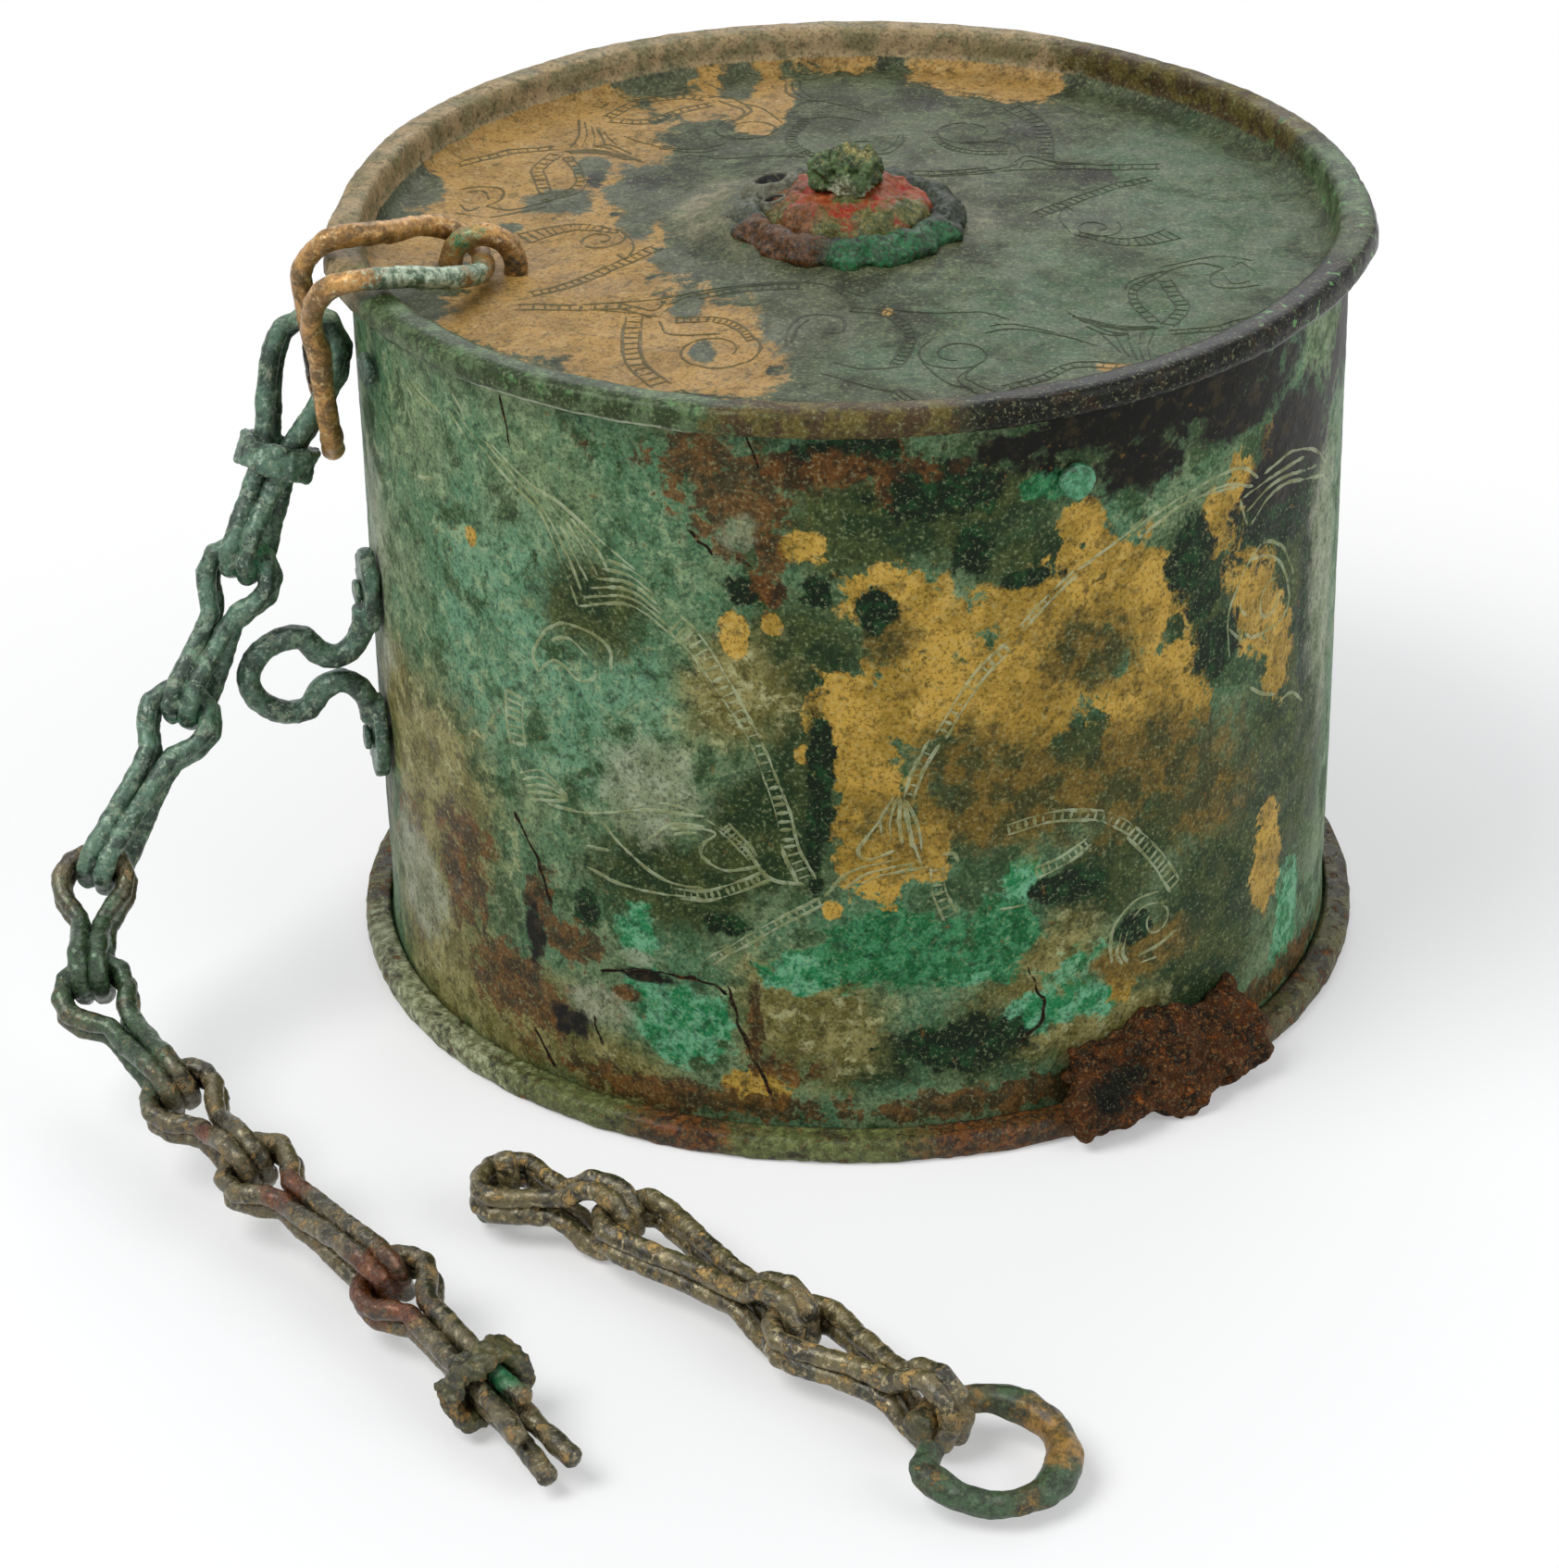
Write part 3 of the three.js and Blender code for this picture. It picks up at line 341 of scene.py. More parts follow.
class Paint:
    """A material built up by layers; colour holds what the layers have made so far."""

    def __init__(self, name, wide, close, share):
        """The layers share a wide and a close noise, which are mixed into the wobble of the zones' edges."""
        self.mat = bpy.data.materials.new(name)
        self.tree = fresh_tree(self.mat)
        self.skin = self.node("BsdfPrincipled")
        self.node("OutputMaterial", {0: self.skin.outputs[0]})
        self.place = self.node("TexCoord").outputs["Object"]
        self.wide = self.noise(*wide)
        self.close = self.noise(*close)
        self.wobble = self.blend(share, self.wide, self.close)
        self.colour = None

    def node(self, kind, inputs=None, **settings):
        return added(self.tree, kind, inputs, **settings)

    def noise(self, size, detail, rough, warp=0.0, shift=(0, 0, 0), stretch=(1, 1, 1)):
        """Noise between 0 and 1 with features about size millimetres wide."""
        placed = self.node("Mapping", {"Vector": self.place, "Location": shift, "Scale": stretch})
        settings = {"Vector": placed.outputs[0], "Scale": 1.0 / (size * MM), "Detail": detail,
                    "Roughness": rough, "Distortion": warp}
        return self.node("TexNoise", settings).outputs[0]

    def maths(self, kind, a, b):
        return self.node("Math", {0: a, 1: b}, operation=kind).outputs[0]

    def times(self, a, b):
        return self.maths("MULTIPLY", a, b)

    def rise(self, value, low, high):
        """0 below low, 1 above high, smooth in between; falls if low is above high."""
        first, last = (1.0, 0.0) if low > high else (0.0, 1.0)
        limits = {"Value": value, "From Min": min(low, high), "From Max": max(low, high), "To Min": first,
                  "To Max": last}
        return self.node("MapRange", limits, interpolation_type="SMOOTHSTEP").outputs[0]

    def mix(self, share, under, top, strength=1.0):
        """One colour laid over another where share is high."""
        if strength != 1.0:
            share = self.times(share, strength)
        colours = {"Factor": share, "A": shown(under), "B": shown(top)}
        return self.node("Mix", colours, data_type="RGBA").outputs["Result"]

    def blend(self, share, a, b):
        return self.node("Mix", {"Factor": share, 2: a, 3: b}, data_type="FLOAT").outputs[0]

    def field(self, name):
        return self.node("Attribute", attribute_name=name).outputs["Fac"]

    def zone(self, name, ragged, edge, wobble=None):
        """A zone with an edge made ragged by noise."""
        centred = self.maths("SUBTRACT", self.wobble if wobble is None else wobble, 0.5)
        shifted = self.maths("ADD", self.field(name), self.times(centred, ragged))
        return self.rise(shifted, 0.5 - edge, 0.5 + edge)

    def tones(self, size, one, two, seed, low=0.42, high=0.58):
        """Two colours in blotches about size millimetres wide."""
        blotches = self.noise(size, 5.0, 0.65, 0.3, (0.21 + seed, 0.57, 0.13))
        return self.mix(self.rise(blotches, low, high), one, two)

    def over(self, share, top, strength=1.0):
        """Lays a colour over the layers so far."""
        self.colour = self.mix(share, self.colour, top, strength)

    def patch(self, name, top, ragged, edge, strength=1.0, wobble=None):
        """Lays a colour over the layers so far in a zone."""
        self.over(self.zone(name, ragged, edge, wobble), top, strength)

    def speckle(self, size, share, seed=0):
        """Fine grains, lighter and darker than the colour that they lie on."""
        grains = self.noise(size, 3.0, 0.7, 0.0, (0.9 + seed, 0.3, 0.5))
        tufts = self.noise(size * 3.2, 4.0, 0.7, 0.0, (1.9 + seed, 0.3, 0.8))
        self.over(self.rise(grains, 0.54, 0.68), (164, 172, 128), share)
        self.over(self.rise(grains, 0.49, 0.36), (20, 26, 16), share * 1.5)
        self.over(self.rise(tufts, 0.48, 0.36), (26, 34, 20), share * 1.4)

    def relief(self, share, size):
        """Heights from the close noise and a finer one."""
        fine = self.noise(size, 4.0, 0.7, 0.0, (0.6, 0.6, 0.1))
        return self.maths("ADD", self.times(self.close, share), self.times(fine, 0.4))

    def finish(self, roughness, metallic, height, depth, gloss):
        bump = self.node("Bump", {"Strength": 1.0, "Distance": depth * MM, "Height": height})
        feed(self.tree, self.skin, {"Base Color": self.colour, "Roughness": roughness, "Metallic": metallic,
                                    "Specular IOR Level": gloss, "Normal": bump.outputs[0]})
        return self.mat


def wall_ground(p):
    """Mottled green, with the teal areas under the mottling."""
    p.colour = p.tones(10, (80, 118, 84), (104, 126, 88), 0.3)
    p.patch("teal", p.tones(3.0, (106, 152, 120), (78, 124, 92), 1.4), 1.8, 0.25, 0.75)
    p.over(p.rise(p.close, 0.5, 0.64), (144, 164, 122), 0.75)
    p.over(p.rise(p.close, 0.46, 0.34), (50, 78, 46), 0.8)
    p.over(p.rise(p.wide, 0.48, 0.38), (46, 70, 38), 0.85)


def wall_patches(p):
    """The zones of deep green, olive, bright greens, ochre and umber."""
    deep = p.tones(4, (32, 52, 25), (62, 72, 34), 0.8)
    p.patch("deep", p.mix(p.rise(p.close, 0.54, 0.7), deep, (82, 96, 52)), 1.7, 0.2)
    olive = p.tones(3.5, (138, 130, 78), (98, 92, 44), 1.1)
    p.patch("olive", p.mix(p.rise(p.close, 0.52, 0.66), olive, (164, 164, 116)), 1.5, 0.22)
    p.patch("turquoise", p.tones(1.4, (104, 166, 126), (34, 120, 72), 1.7), 2.0, 0.08)
    p.patch("emerald", p.tones(1.2, (60, 128, 84), (22, 92, 50), 1.9), 2.0, 0.08)
    ochre = p.tones(4.5, (186, 150, 64), (150, 120, 44), 2.3)
    ochre = p.mix(p.rise(p.close, 0.54, 0.68), ochre, (206, 174, 96), 0.5)
    p.patch("ochre", p.mix(p.rise(p.close, 0.42, 0.3), ochre, (80, 72, 28)), 1.9, 0.05)
    p.patch("umber", p.tones(3, (112, 90, 34), (64, 64, 28), 2.6), 1.7, 0.22)


def wall_skin(name, engraved=False):
    """The wall's patina: green, with zones of other corrosion, pale zones that are pale crust in some places
    and a painted highlight near the left and right sides, and pale engraved lines.
    """
    p = Paint(name, (5.5, 5.0, 0.68, 0.5, (0.4, 0.1, 0.9)), (1.7, 5.0, 0.7, 0.3, (0.1, 0.7, 0.2)), 0.45)
    wall_ground(p)
    wall_patches(p)
    dark = p.zone("dark", 2.0, 0.08)
    p.over(dark, p.tones(1.6, (9, 26, 9), (22, 58, 26), 2.9, 0.48, 0.6))
    p.patch("rust", p.tones(1.8, (104, 66, 26), (54, 34, 14), 3.1), 2.2, 0.12, 0.9, p.close)
    # pale: pale crust, and near the wall's left and right sides a painted highlight
    p.patch("pale", p.tones(2.0, (164, 170, 142), (128, 138, 106), 3.7), 1.8, 0.2, 0.7)
    p.speckle(0.34, 0.36)
    soot = p.tones(1.4, (16, 16, 11), (44, 38, 22), 4.1, 0.52, 0.64)
    crumbs = p.noise(0.6, 4.0, 0.7, 0.0, (1.2, 0.5, 2.2))
    black = p.zone("black", 2.0, 0.12)
    p.over(black, p.mix(p.rise(crumbs, 0.62, 0.7), soot, (74, 70, 44)))
    dots = p.noise(1.1, 3.0, 0.6, 0.0, (2.2, 0.4, 1.3))
    p.over(p.rise(dots, 0.68, 0.72), (122, 88, 40), 0.5)
    if engraved:
        worn = p.noise(1.3, 4.0, 0.7, 0.0, (3.1, 0.2, 0.4))
        p.over(p.rise(worn, 0.3, 0.46), p.tones(1.5, (172, 182, 146), (140, 146, 100), 4.9), 0.62)
    height = p.maths("SUBTRACT", p.relief(0.5, 0.5), p.times(dark, 0.2))
    raised = p.rise(p.wide, 0.4, 0.6)
    roughness = p.blend(black, p.blend(raised, 0.56, 0.42), 0.45)
    return p.finish(roughness, p.blend(raised, 0.0, 0.08), height, 0.14, 0.12)


def lid_ground(p, scratches):
    """Grey-green with leafier areas, fine scratches and the pale mound round the boss."""
    p.colour = p.tones(6, (56, 62, 42), (76, 84, 58), 0.4)
    p.over(p.rise(p.close, 0.52, 0.66), (104, 112, 80), 0.65)
    p.over(p.rise(p.wide, 0.46, 0.36), (44, 48, 31))
    p.patch("green", p.tones(2.4, (54, 88, 56), (84, 100, 74), 0.9), 1.8, 0.25, 0.7)
    p.over(p.rise(scratches, 0.58, 0.7), (138, 138, 110), 0.3)
    p.patch("mound", p.tones(2.5, (140, 132, 104), (104, 104, 78), 1.1), 1.2, 0.3, 0.85)
    tan = p.tones(5, (164, 128, 68), (144, 112, 60), 1.3)
    p.patch("tan", p.mix(p.rise(p.close, 0.52, 0.7), tan, (182, 152, 102), 0.6), 1.5, 0.06)
    p.patch("grey", p.tones(3, (84, 88, 66), (68, 72, 52), 1.9), 1.8, 0.08)
    p.patch("dark", p.tones(1.5, (48, 52, 34), (28, 26, 18), 2.5), 1.4, 0.12, 1.0, p.close)


def rim_patches(p):
    """The arcs of tan, green, brown and black round the rim, with leaf-green crust on them."""
    p.patch("rim_tan", p.tones(3, (158, 136, 100), (122, 112, 80), 2.7), 1.4, 0.12)
    p.patch("rim_green", p.tones(2.2, (84, 104, 68), (50, 64, 36), 3.3), 1.4, 0.12)
    p.patch("rim_brown", p.tones(1.8, (70, 54, 32), (96, 84, 40), 3.9), 1.5, 0.12)
    p.patch("rim_black", p.tones(1.6, (12, 11, 6), (40, 26, 12), 4.5, 0.52, 0.62), 1.5, 0.12)
    leaves = p.rise(p.noise(1.5, 4.0, 0.65, 0.0, (5.2, 0.4, 1.3)), 0.6, 0.66)
    p.over(p.times(leaves, p.field("rim_crust")), (96, 138, 84))


def lid_skin(name, engraved=False):
    """The lid's patina: grey-green, tan on the left, the rim's zones, a painted highlight along the rim's
    lower edge at the front left, and dark engraved lines.
    """
    p = Paint(name, (6.0, 5.0, 0.66, 0.5, (0.7, 0.3, 0.2)), (1.6, 5.0, 0.7, 0.3, (0.5, 0.9, 0.6)), 0.4)
    scratches = p.noise(0.7, 3.0, 0.7, 0.0, (0.2, 0.2, 0.2), (0.12, 1.6, 1.0))
    lid_ground(p, scratches)
    rim_patches(p)
    specks = p.rise(p.noise(1.0, 5.0, 0.75, 0.4, (6.2, 1.4, 0.3)), 0.6, 0.68)
    p.over(p.times(specks, p.rise(p.field("specks"), 0.1, 0.8)), (44, 104, 66), 0.8)
    # painted highlight: a pale line along the lower edge of the rim at the front left
    p.patch("painted_rim_highlight", (170, 176, 150), 1.2, 0.15, 0.8, p.close)
    p.speckle(0.34, 0.32, 2)
    if engraved:
        worn = p.noise(1.2, 4.0, 0.7, 0.0, (1.1, 2.2, 0.4))
        line = p.mix(p.rise(p.field("tan"), 0.4, 0.6), (44, 48, 32), (66, 64, 36))
        p.over(p.rise(worn, 0.3, 0.46), line, 0.8)
    height = p.maths("ADD", p.relief(0.45, 0.45), p.times(scratches, 0.15))
    raised = p.rise(p.wide, 0.4, 0.6)
    polished = p.maths("MAXIMUM", p.field("rim_green"), p.field("rim_black"))
    roughness = p.blend(p.times(polished, 0.8), p.blend(raised, 0.56, 0.42), 0.24)
    return p.finish(roughness, p.blend(raised, 0.0, 0.1), height, 0.12, 0.15)


wall_paint = wall_skin("wall_paint")
wall_line_paint = wall_skin("wall_line_paint", True)
lid_paint = lid_skin("lid_paint")
lid_line_paint = lid_skin("lid_line_paint", True)


CRUST_ROUGHNESS = 0.75


def wire_skin(name, ground, deep, worn, deposit, zones, roughness, bits, grain, metallic=0.0, seat=0.0,
              gloss=0.3):
    """Dark metal, worn lighter in places, with deposits in its seats and in bits, and listed zones.

    Its own colours are ground, deep and worn; the deposit and each zone have two. How much deposit there is
    depends on bits and seat, and how coarse everything is on grain.
    """
    wide = (3.4 * grain, 5.0, 0.66, 0.5, (0.4, 0.7, 0.1))
    close = (0.9 * grain, 5.0, 0.7, 0.3, (0.1, 0.3, 0.8))
    p = Paint(name, wide, close, 0.5)
    p.colour = p.mix(p.rise(p.wide, 0.4, 0.58), deep, ground)
    p.over(p.rise(p.close, 0.52, 0.66), worn, 0.7)
    scattered = p.rise(p.noise(2.0 * grain, 5.0, 0.7, 0.4, (2.1, 0.2, 0.7)), 0.54, 0.62)
    crusted = p.times(scattered, bits)
    if seat:
        crusted = p.maths("MAXIMUM", p.times(p.zone("seat", 2.4, 0.12), seat), crusted)
    p.over(crusted, p.mix(p.rise(p.close, 0.42, 0.58), *deposit))
    for key, one, two in zones:
        blotches = p.rise(p.noise(1.1 * grain, 5.0, 0.7, 0.3, (3.3, 0.9, 0.2)), 0.42, 0.58)
        p.patch(key, p.mix(blotches, one, two), 2.2, 0.2)
    p.speckle(0.3, 0.2, 4)
    height = p.maths("ADD", p.times(p.close, 0.5), p.times(crusted, 0.5))
    if roughness != CRUST_ROUGHNESS:
        roughness = p.blend(crusted, roughness, CRUST_ROUGHNESS)
    if metallic:
        metallic = p.blend(crusted, metallic, 0.0)
    return p.finish(roughness, metallic, height, 0.16, gloss)


EMERALD = (34, 112, 66)
JADE = (88, 140, 104)
CHALK = (178, 184, 158)
RUST = (112, 62, 30)
LEAF = (62, 88, 58)
# near-black painted shade for the insides of holes, pits and cracks
HOLE_SHADE = (9, 7, 5)

base_paint = wire_skin(
    "base_paint", (84, 80, 40), (40, 32, 16), (128, 126, 80), ((118, 72, 26), (54, 34, 15)),
    [("green", (110, 118, 66), (76, 86, 42)), ("pale", (176, 180, 144), (124, 130, 92)),
     ("rust", (110, 64, 22), (44, 26, 12))], roughness=0.5, bits=1.0, grain=0.8)
green_paint = wire_skin(
    "green_paint", (84, 116, 94), (42, 62, 50), (168, 186, 162), (CHALK, (112, 150, 118)),
    [("emerald", EMERALD, (84, 152, 112))],
    roughness=0.34, bits=0.5, grain=0.7, metallic=0.15, seat=0.95, gloss=0.5)
brown_paint = wire_skin(
    "brown_paint", (100, 90, 62), (52, 48, 34), (168, 154, 118), ((158, 122, 66), (112, 96, 58)),
    [("rust", RUST, (78, 40, 18)), ("emerald", EMERALD, JADE), ("green", LEAF, (44, 62, 42))],
    roughness=0.26, bits=0.8, grain=0.8, metallic=0.35, seat=0.9, gloss=0.7)
gold_paint = wire_skin(
    "gold_paint", (190, 142, 78), (128, 94, 50), (226, 196, 140), ((84, 76, 50), (58, 54, 36)),
    [("green", (86, 110, 86), (176, 190, 164)), ("emerald", EMERALD, JADE),
     ("dark", (42, 36, 24), (66, 54, 34))],
    roughness=0.32, bits=0.5, grain=0.7, metallic=0.4, seat=0.3, gloss=0.5)
ring_paint = wire_skin(
    "ring_paint", (80, 78, 46), (42, 42, 26), (132, 122, 76), ((156, 118, 56), (108, 88, 44)),
    [("green", LEAF, (40, 56, 32)), ("ochre", (162, 122, 58), (116, 90, 42))],
    roughness=0.4, bits=0.8, grain=0.8, metallic=0.15, seat=0.9, gloss=0.5)
# the black zone is painted shade: the holes in the lump and the insides of the cracks
rust_paint = wire_skin(
    "rust_paint", (70, 40, 18), (22, 14, 8), (142, 92, 46), ((128, 70, 24), (44, 26, 12)),
    [("black", HOLE_SHADE, (16, 13, 9))], roughness=0.75, bits=0.9, grain=0.6, gloss=0.12)
loose_paint = wire_skin(
    "loose_paint", (108, 96, 62), (50, 46, 32), (204, 186, 138), ((190, 152, 82), (126, 104, 58)),
    [("green", LEAF, (44, 62, 42)), ("emerald", EMERALD, JADE)],
    roughness=0.26, bits=0.9, grain=0.8, metallic=0.3, seat=0.9, gloss=0.7)
enamel_paint = wire_skin(
    "enamel_paint", (150, 72, 30), (146, 36, 18), (172, 112, 58), ((92, 90, 44), (120, 84, 38)),
    [("crust", (112, 108, 56), (64, 74, 36)), ("brown", (124, 78, 36), (78, 46, 20))],
    roughness=0.45, bits=0.6, grain=0.4)
collar_paint = wire_skin(
    "collar_paint", (30, 42, 26), (14, 18, 11), (82, 92, 58), ((72, 84, 44), (44, 54, 28)),
    [("brown", (44, 24, 9), (98, 60, 24)), ("emerald", (30, 100, 56), (34, 58, 32)),
     ("grey", (92, 94, 74), (66, 70, 52))], roughness=0.42, bits=0.5, grain=0.4)
nub_paint = wire_skin(
    "nub_paint", (80, 104, 60), (38, 50, 26), (142, 136, 84), ((104, 128, 84), (60, 84, 48)),
    [("ochre", (160, 150, 92), (118, 112, 62)), ("pale", CHALK, (128, 124, 90))],
    roughness=0.6, bits=0.6, grain=0.5)
# the dark zone is painted shade inside the pits
pit_paint = wire_skin(
    "pit_paint", (98, 98, 78), (66, 64, 46), (136, 134, 110), ((86, 78, 56), (60, 50, 34)),
    [("dark", HOLE_SHADE, (22, 15, 9))], roughness=0.5, bits=0.4, grain=0.4)


# Zones on the wall: azimuth and height, then half-width in degrees and half-height in millimetres.
WALL_ZONES = {
    "deep": [
        (265, 48, 8, 6), (265, 36, 5, 11), (260, 31, 6, 6), (271, 60, 8, 5), (282, 61, 13, 5),
        (290, 56, 8, 3), (312, 46, 6, 9), (299, 23, 8, 4), (318, 18, 12, 8), (306, 27, 9, 3),
        (286, 10, 9, 4), (315, 11, 10, 5), (331, 28, 12, 16), (333, 44, 9, 12), (249, 25, 10, 5),
        (241, 50, 7, 4), (272, 9, 6, 3), (298, 36, 11, 5), (15, 35, 18, 16), (60, 48, 14, 9),
        (110, 22, 18, 10), (165, 46, 14, 10), (190, 22, 8, 12)],
    "olive": [
        (213, 25, 13, 11), (211, 10, 14, 11), (225, 7, 18, 6), (203, 31, 8, 6), (241, 5, 9, 4),
        (265, 13, 9, 6), (293, 16, 7, 5), (299, 9, 9, 3), (258, 44, 6, 5), (40, 16, 20, 9), (95, 40, 16, 12),
        (140, 12, 22, 8), (170, 30, 12, 9)],
    "teal": [
        (232, 50, 7, 7), (236, 39, 8, 7), (224, 44, 7, 12), (245, 43, 6, 4), (130, 42, 14, 10),
        (185, 50, 8, 8)],
    "turquoise": [
        (251, 11, 6, 4), (289, 25, 3, 3), (298, 14, 5, 4), (245, 20, 3, 3), (246, 15, 3, 2), (292, 12, 5, 2),
        (332, 9, 3, 6), (265, 18, 4, 2), (283, 17, 3, 1), (52, 27, 6, 3), (88, 14, 5, 4), (148, 34, 5, 5)],
    "emerald": [
        (276, 20, 10, 4), (287, 21, 5, 4), (292, 62, 3, 1.5)],
    "ochre": [
        (258, 50, 1.5, 2), (262, 51, 1, 1), (265, 58, 3, 1.5), (275, 53, 6, 3), (280, 50, 4, 3),
        (271, 40, 5, 7), (273, 33, 5, 7), (277, 43, 6, 4), (287, 44, 12, 6), (295, 51, 11, 5),
        (304, 50, 7, 5), (308, 40, 8, 5), (322, 48, 5, 9), (319, 56, 3, 4), (327, 38, 4, 5), (325, 58, 3, 3),
        (296, 58, 3, 2), (317, 54, 5, 3), (279, 31, 3, 5), (265, 39, 0.7, 1), (268, 24, 1, 1),
        (326, 18, 3, 5), (302, 14, 2, 3), (259, 6, 4, 2), (224, 53, 1, 1), (75, 50, 6, 4), (70, 44, 4, 5),
        (118, 47, 4, 6), (22, 20, 3, 4), (160, 22, 4, 3)],
    "umber": [
        (287, 33, 13, 5), (306, 33, 11, 5), (297, 46, 6, 3.5), (282, 38, 5, 3.5), (315, 28, 6, 4),
        (304, 15, 8, 2), (274, 50, 3, 2), (80, 32, 14, 6), (128, 26, 10, 5)],
    "dark": [
        (280, 63, 7, 3), (273, 52, 2, 2), (260, 54, 3, 1.5), (267, 54, 2, 1.5), (310, 52, 3, 4),
        (313, 47, 2, 2), (290, 54, 4, 1), (267, 37, 1.5, 6), (266, 29, 1, 4), (294, 24, 5, 1.5),
        (315, 42, 4, 4), (329, 52, 11, 5), (303, 18, 3, 1.5), (282, 10, 8, 2.5), (284, 57, 2.5, 2.5),
        (335, 40, 2.5, 8.5), (256, 22, 3, 1), (239, 21, 2, 2), (28, 50, 8, 4), (100, 56, 10, 4),
        (150, 52, 6, 4), (62, 12, 8, 2.5), (270, 66, 8, 2)],
    "black": [
        (303, 62, 6, 3), (305, 66, 23, 3), (289, 66, 7, 1.5), (330, 57, 11, 5), (318, 63, 10, 2.5),
        (246, 15.5, 4, 0.7), (231, 17, 1.5, 3), (236, 8.5, 3, 1.5), (10, 64, 24, 3), (352, 62, 10, 5),
        (120, 66, 16, 2)],
    "rust": [
        (250, 4, 20, 1.5), (290, 4, 18, 1.5), (228, 9, 9, 3), (218, 18, 5, 5), (265, 65, 16, 1.5),
        (232, 20, 2, 4), (236, 17, 4, 2), (227, 12, 5, 2), (243, 13, 2, 1), (219, 23, 5, 2), (205, 14, 6, 6),
        (259, 12.5, 0.8, 3), (259, 9, 1, 3.5), (262, 8, 4, 1.5), (255, 65, 5, 3), (261, 61, 3, 3),
        (274, 64, 1, 2.5), (277, 69, 3, 1), (262, 57, 2, 4), (258, 62, 5, 4), (30, 4, 24, 1.5),
        (90, 5, 26, 2), (150, 4, 24, 1.5), (45, 60, 4, 3), (178, 8, 8, 3), (330, 4, 20, 1.5),
        (135, 18, 2, 5)],
    # pale crust; the zones at azimuths 198, 206 and 341, near the left and right sides, are a painted
    # highlight
    "pale": [
        (259, 59, 2, 1.5), (206, 13, 8, 5), (198, 43, 5, 10), (341, 42, 5, 13), (245, 17, 2, 1),
        (240, 11, 4, 2), (247, 34, 6, 4), (70, 22, 6, 3), (175, 58, 5, 4)],
}

# Zones on the lid: x, y and the two half-widths in millimetres.
LID_ZONES = {
    "tan": [
        (-39, -1.5, 4, 6), (-34, 24, 7, 9), (-30, 9, 6, 8), (-24, 29, 6, 9), (-27, 22, 11, 12),
        (-35, 16, 5, 12), (-31, 31, 8, 7), (-24, -9, 9, 18), (-16.5, -23, 8.5, 11), (-28, -15, 6, 10),
        (-9.5, -25, 5, 10), (-14, 35, 6, 6), (-8.5, 33, 3, 9), (-1.5, 44, 8, 3.5), (12.5, 39, 7, 5.5),
        (16, 36.5, 4, 5), (3.5, -18, 0.7, 1), (22.5, -29, 1.7, 1), (-23, 12, 3.5, 9), (-18, -1, 2, 6)],
    "grey": [
        (-38.5, 12.5, 2, 4.5), (-26, 9, 3, 3), (-20, 38, 5, 3.5), (-10.5, 37.5, 2, 4), (-30, 3, 1, 1.5),
        (-15, -6, 2, 3), (-13.5, -15.5, 1.5, 3), (-12, -25, 1, 2), (-3.5, -16, 4, 10), (-18, 11, 3.5, 6),
        (-18.5, 3, 2, 4), (-23.5, 17, 1.5, 2), (-5.5, 1, 5, 13)],
    "dark": [
        (-4.5, 10, 1, 1.5), (16.5, 24.5, 2.5, 2.5), (-18, 13, 2, 2), (-23, 14, 1, 2), (22, 13, 2, 2),
        (7, 32, 2.5, 2)],
    "green": [
        (22, -16, 11, 12), (33, 0, 7, 17), (14.5, -20, 9, 10), (28, 15, 7.5, 9), (7, -27.5, 8, 4.5)],
    "mound": [
        (-2, 2, 11, 10), (-11, 4, 5, 7)],
    "specks": [
        (8, 18, 8, 8), (7, 37, 5, 6), (32.5, -17, 5, 6), (26, -24, 7, 5), (14, 4, 4, 11), (19, -20, 6, 8),
        (-12.5, -1, 5, 8)],
}

# Arcs of colour round the two rims: strength, then centre, half-width and soft edge in degrees.
RIM_ARCS = {
    "rim_tan": [(1, 160, 48, 18), (1, 85, 30, 18)],
    "rim_green": [(1, 232, 26, 14), (0.8, 5, 14, 12)],
    "rim_brown": [(1, 270, 13, 10), (0.75, 40, 26, 16)],
    "rim_black": [(1, 312, 30, 14)],
    "rim_crust": [(1, 350, 35, 15), (0.6, 230, 30, 10)],
}
BASE_ARCS = {
    "green": [(0.56, 225, 30, 14), (0.56, 268, 16, 10)],
    "pale": [(0.55, 208, 24, 14)],
    "rust": [(0.62, 250, 7, 5), (0.62, 300, 26, 8)],
}

# A blister on the wall, its size in millimetres, and three craters, given as the wall's zones are.
BLISTER_PLACE = (259.4, 58.8)
BLISTER_SIZE = (2.2, 1.6)
CRATERS = [(291.5, 47.5, 1.2, 1.0), (245, 47, 0.8, 0.7), (258.5, 13, 0.4, 3.0)]

# Cracks and rust lines on the wall, as (azimuth, height).
CRACKS = [
    [(240, 15), (246, 16), (253, 16), (256, 15)],
    [(256, 16), (258, 10), (261, 5)],
    [(230, 67), (231, 63)],
    [(253, 59), (256, 57)],
    [(258, 57), (260, 56)],
    [(230, 6.5), (233, 3)],
    [(239, 10), (240, 7)],
    [(229, 28), (232, 24), (234, 20)],
    [(259, 70), (261, 65)],
    [(290, 17), (292, 12), (289, 9)],
]

# How far the rim stands out of round, as (azimuth, millimetres).
RIM_WAVES = [
    (-30, 0.0), (-10, 0.9), (5, 0.1), (28, -0.1), (50, -0.6), (66, 0.1), (90, 0.3), (120, 0.8), (138, 0.4),
    (158, -0.1), (168, -0.5), (178, -0.4), (194, 0.8), (210, 0.3), (240, 0.0), (330, 0.0)]


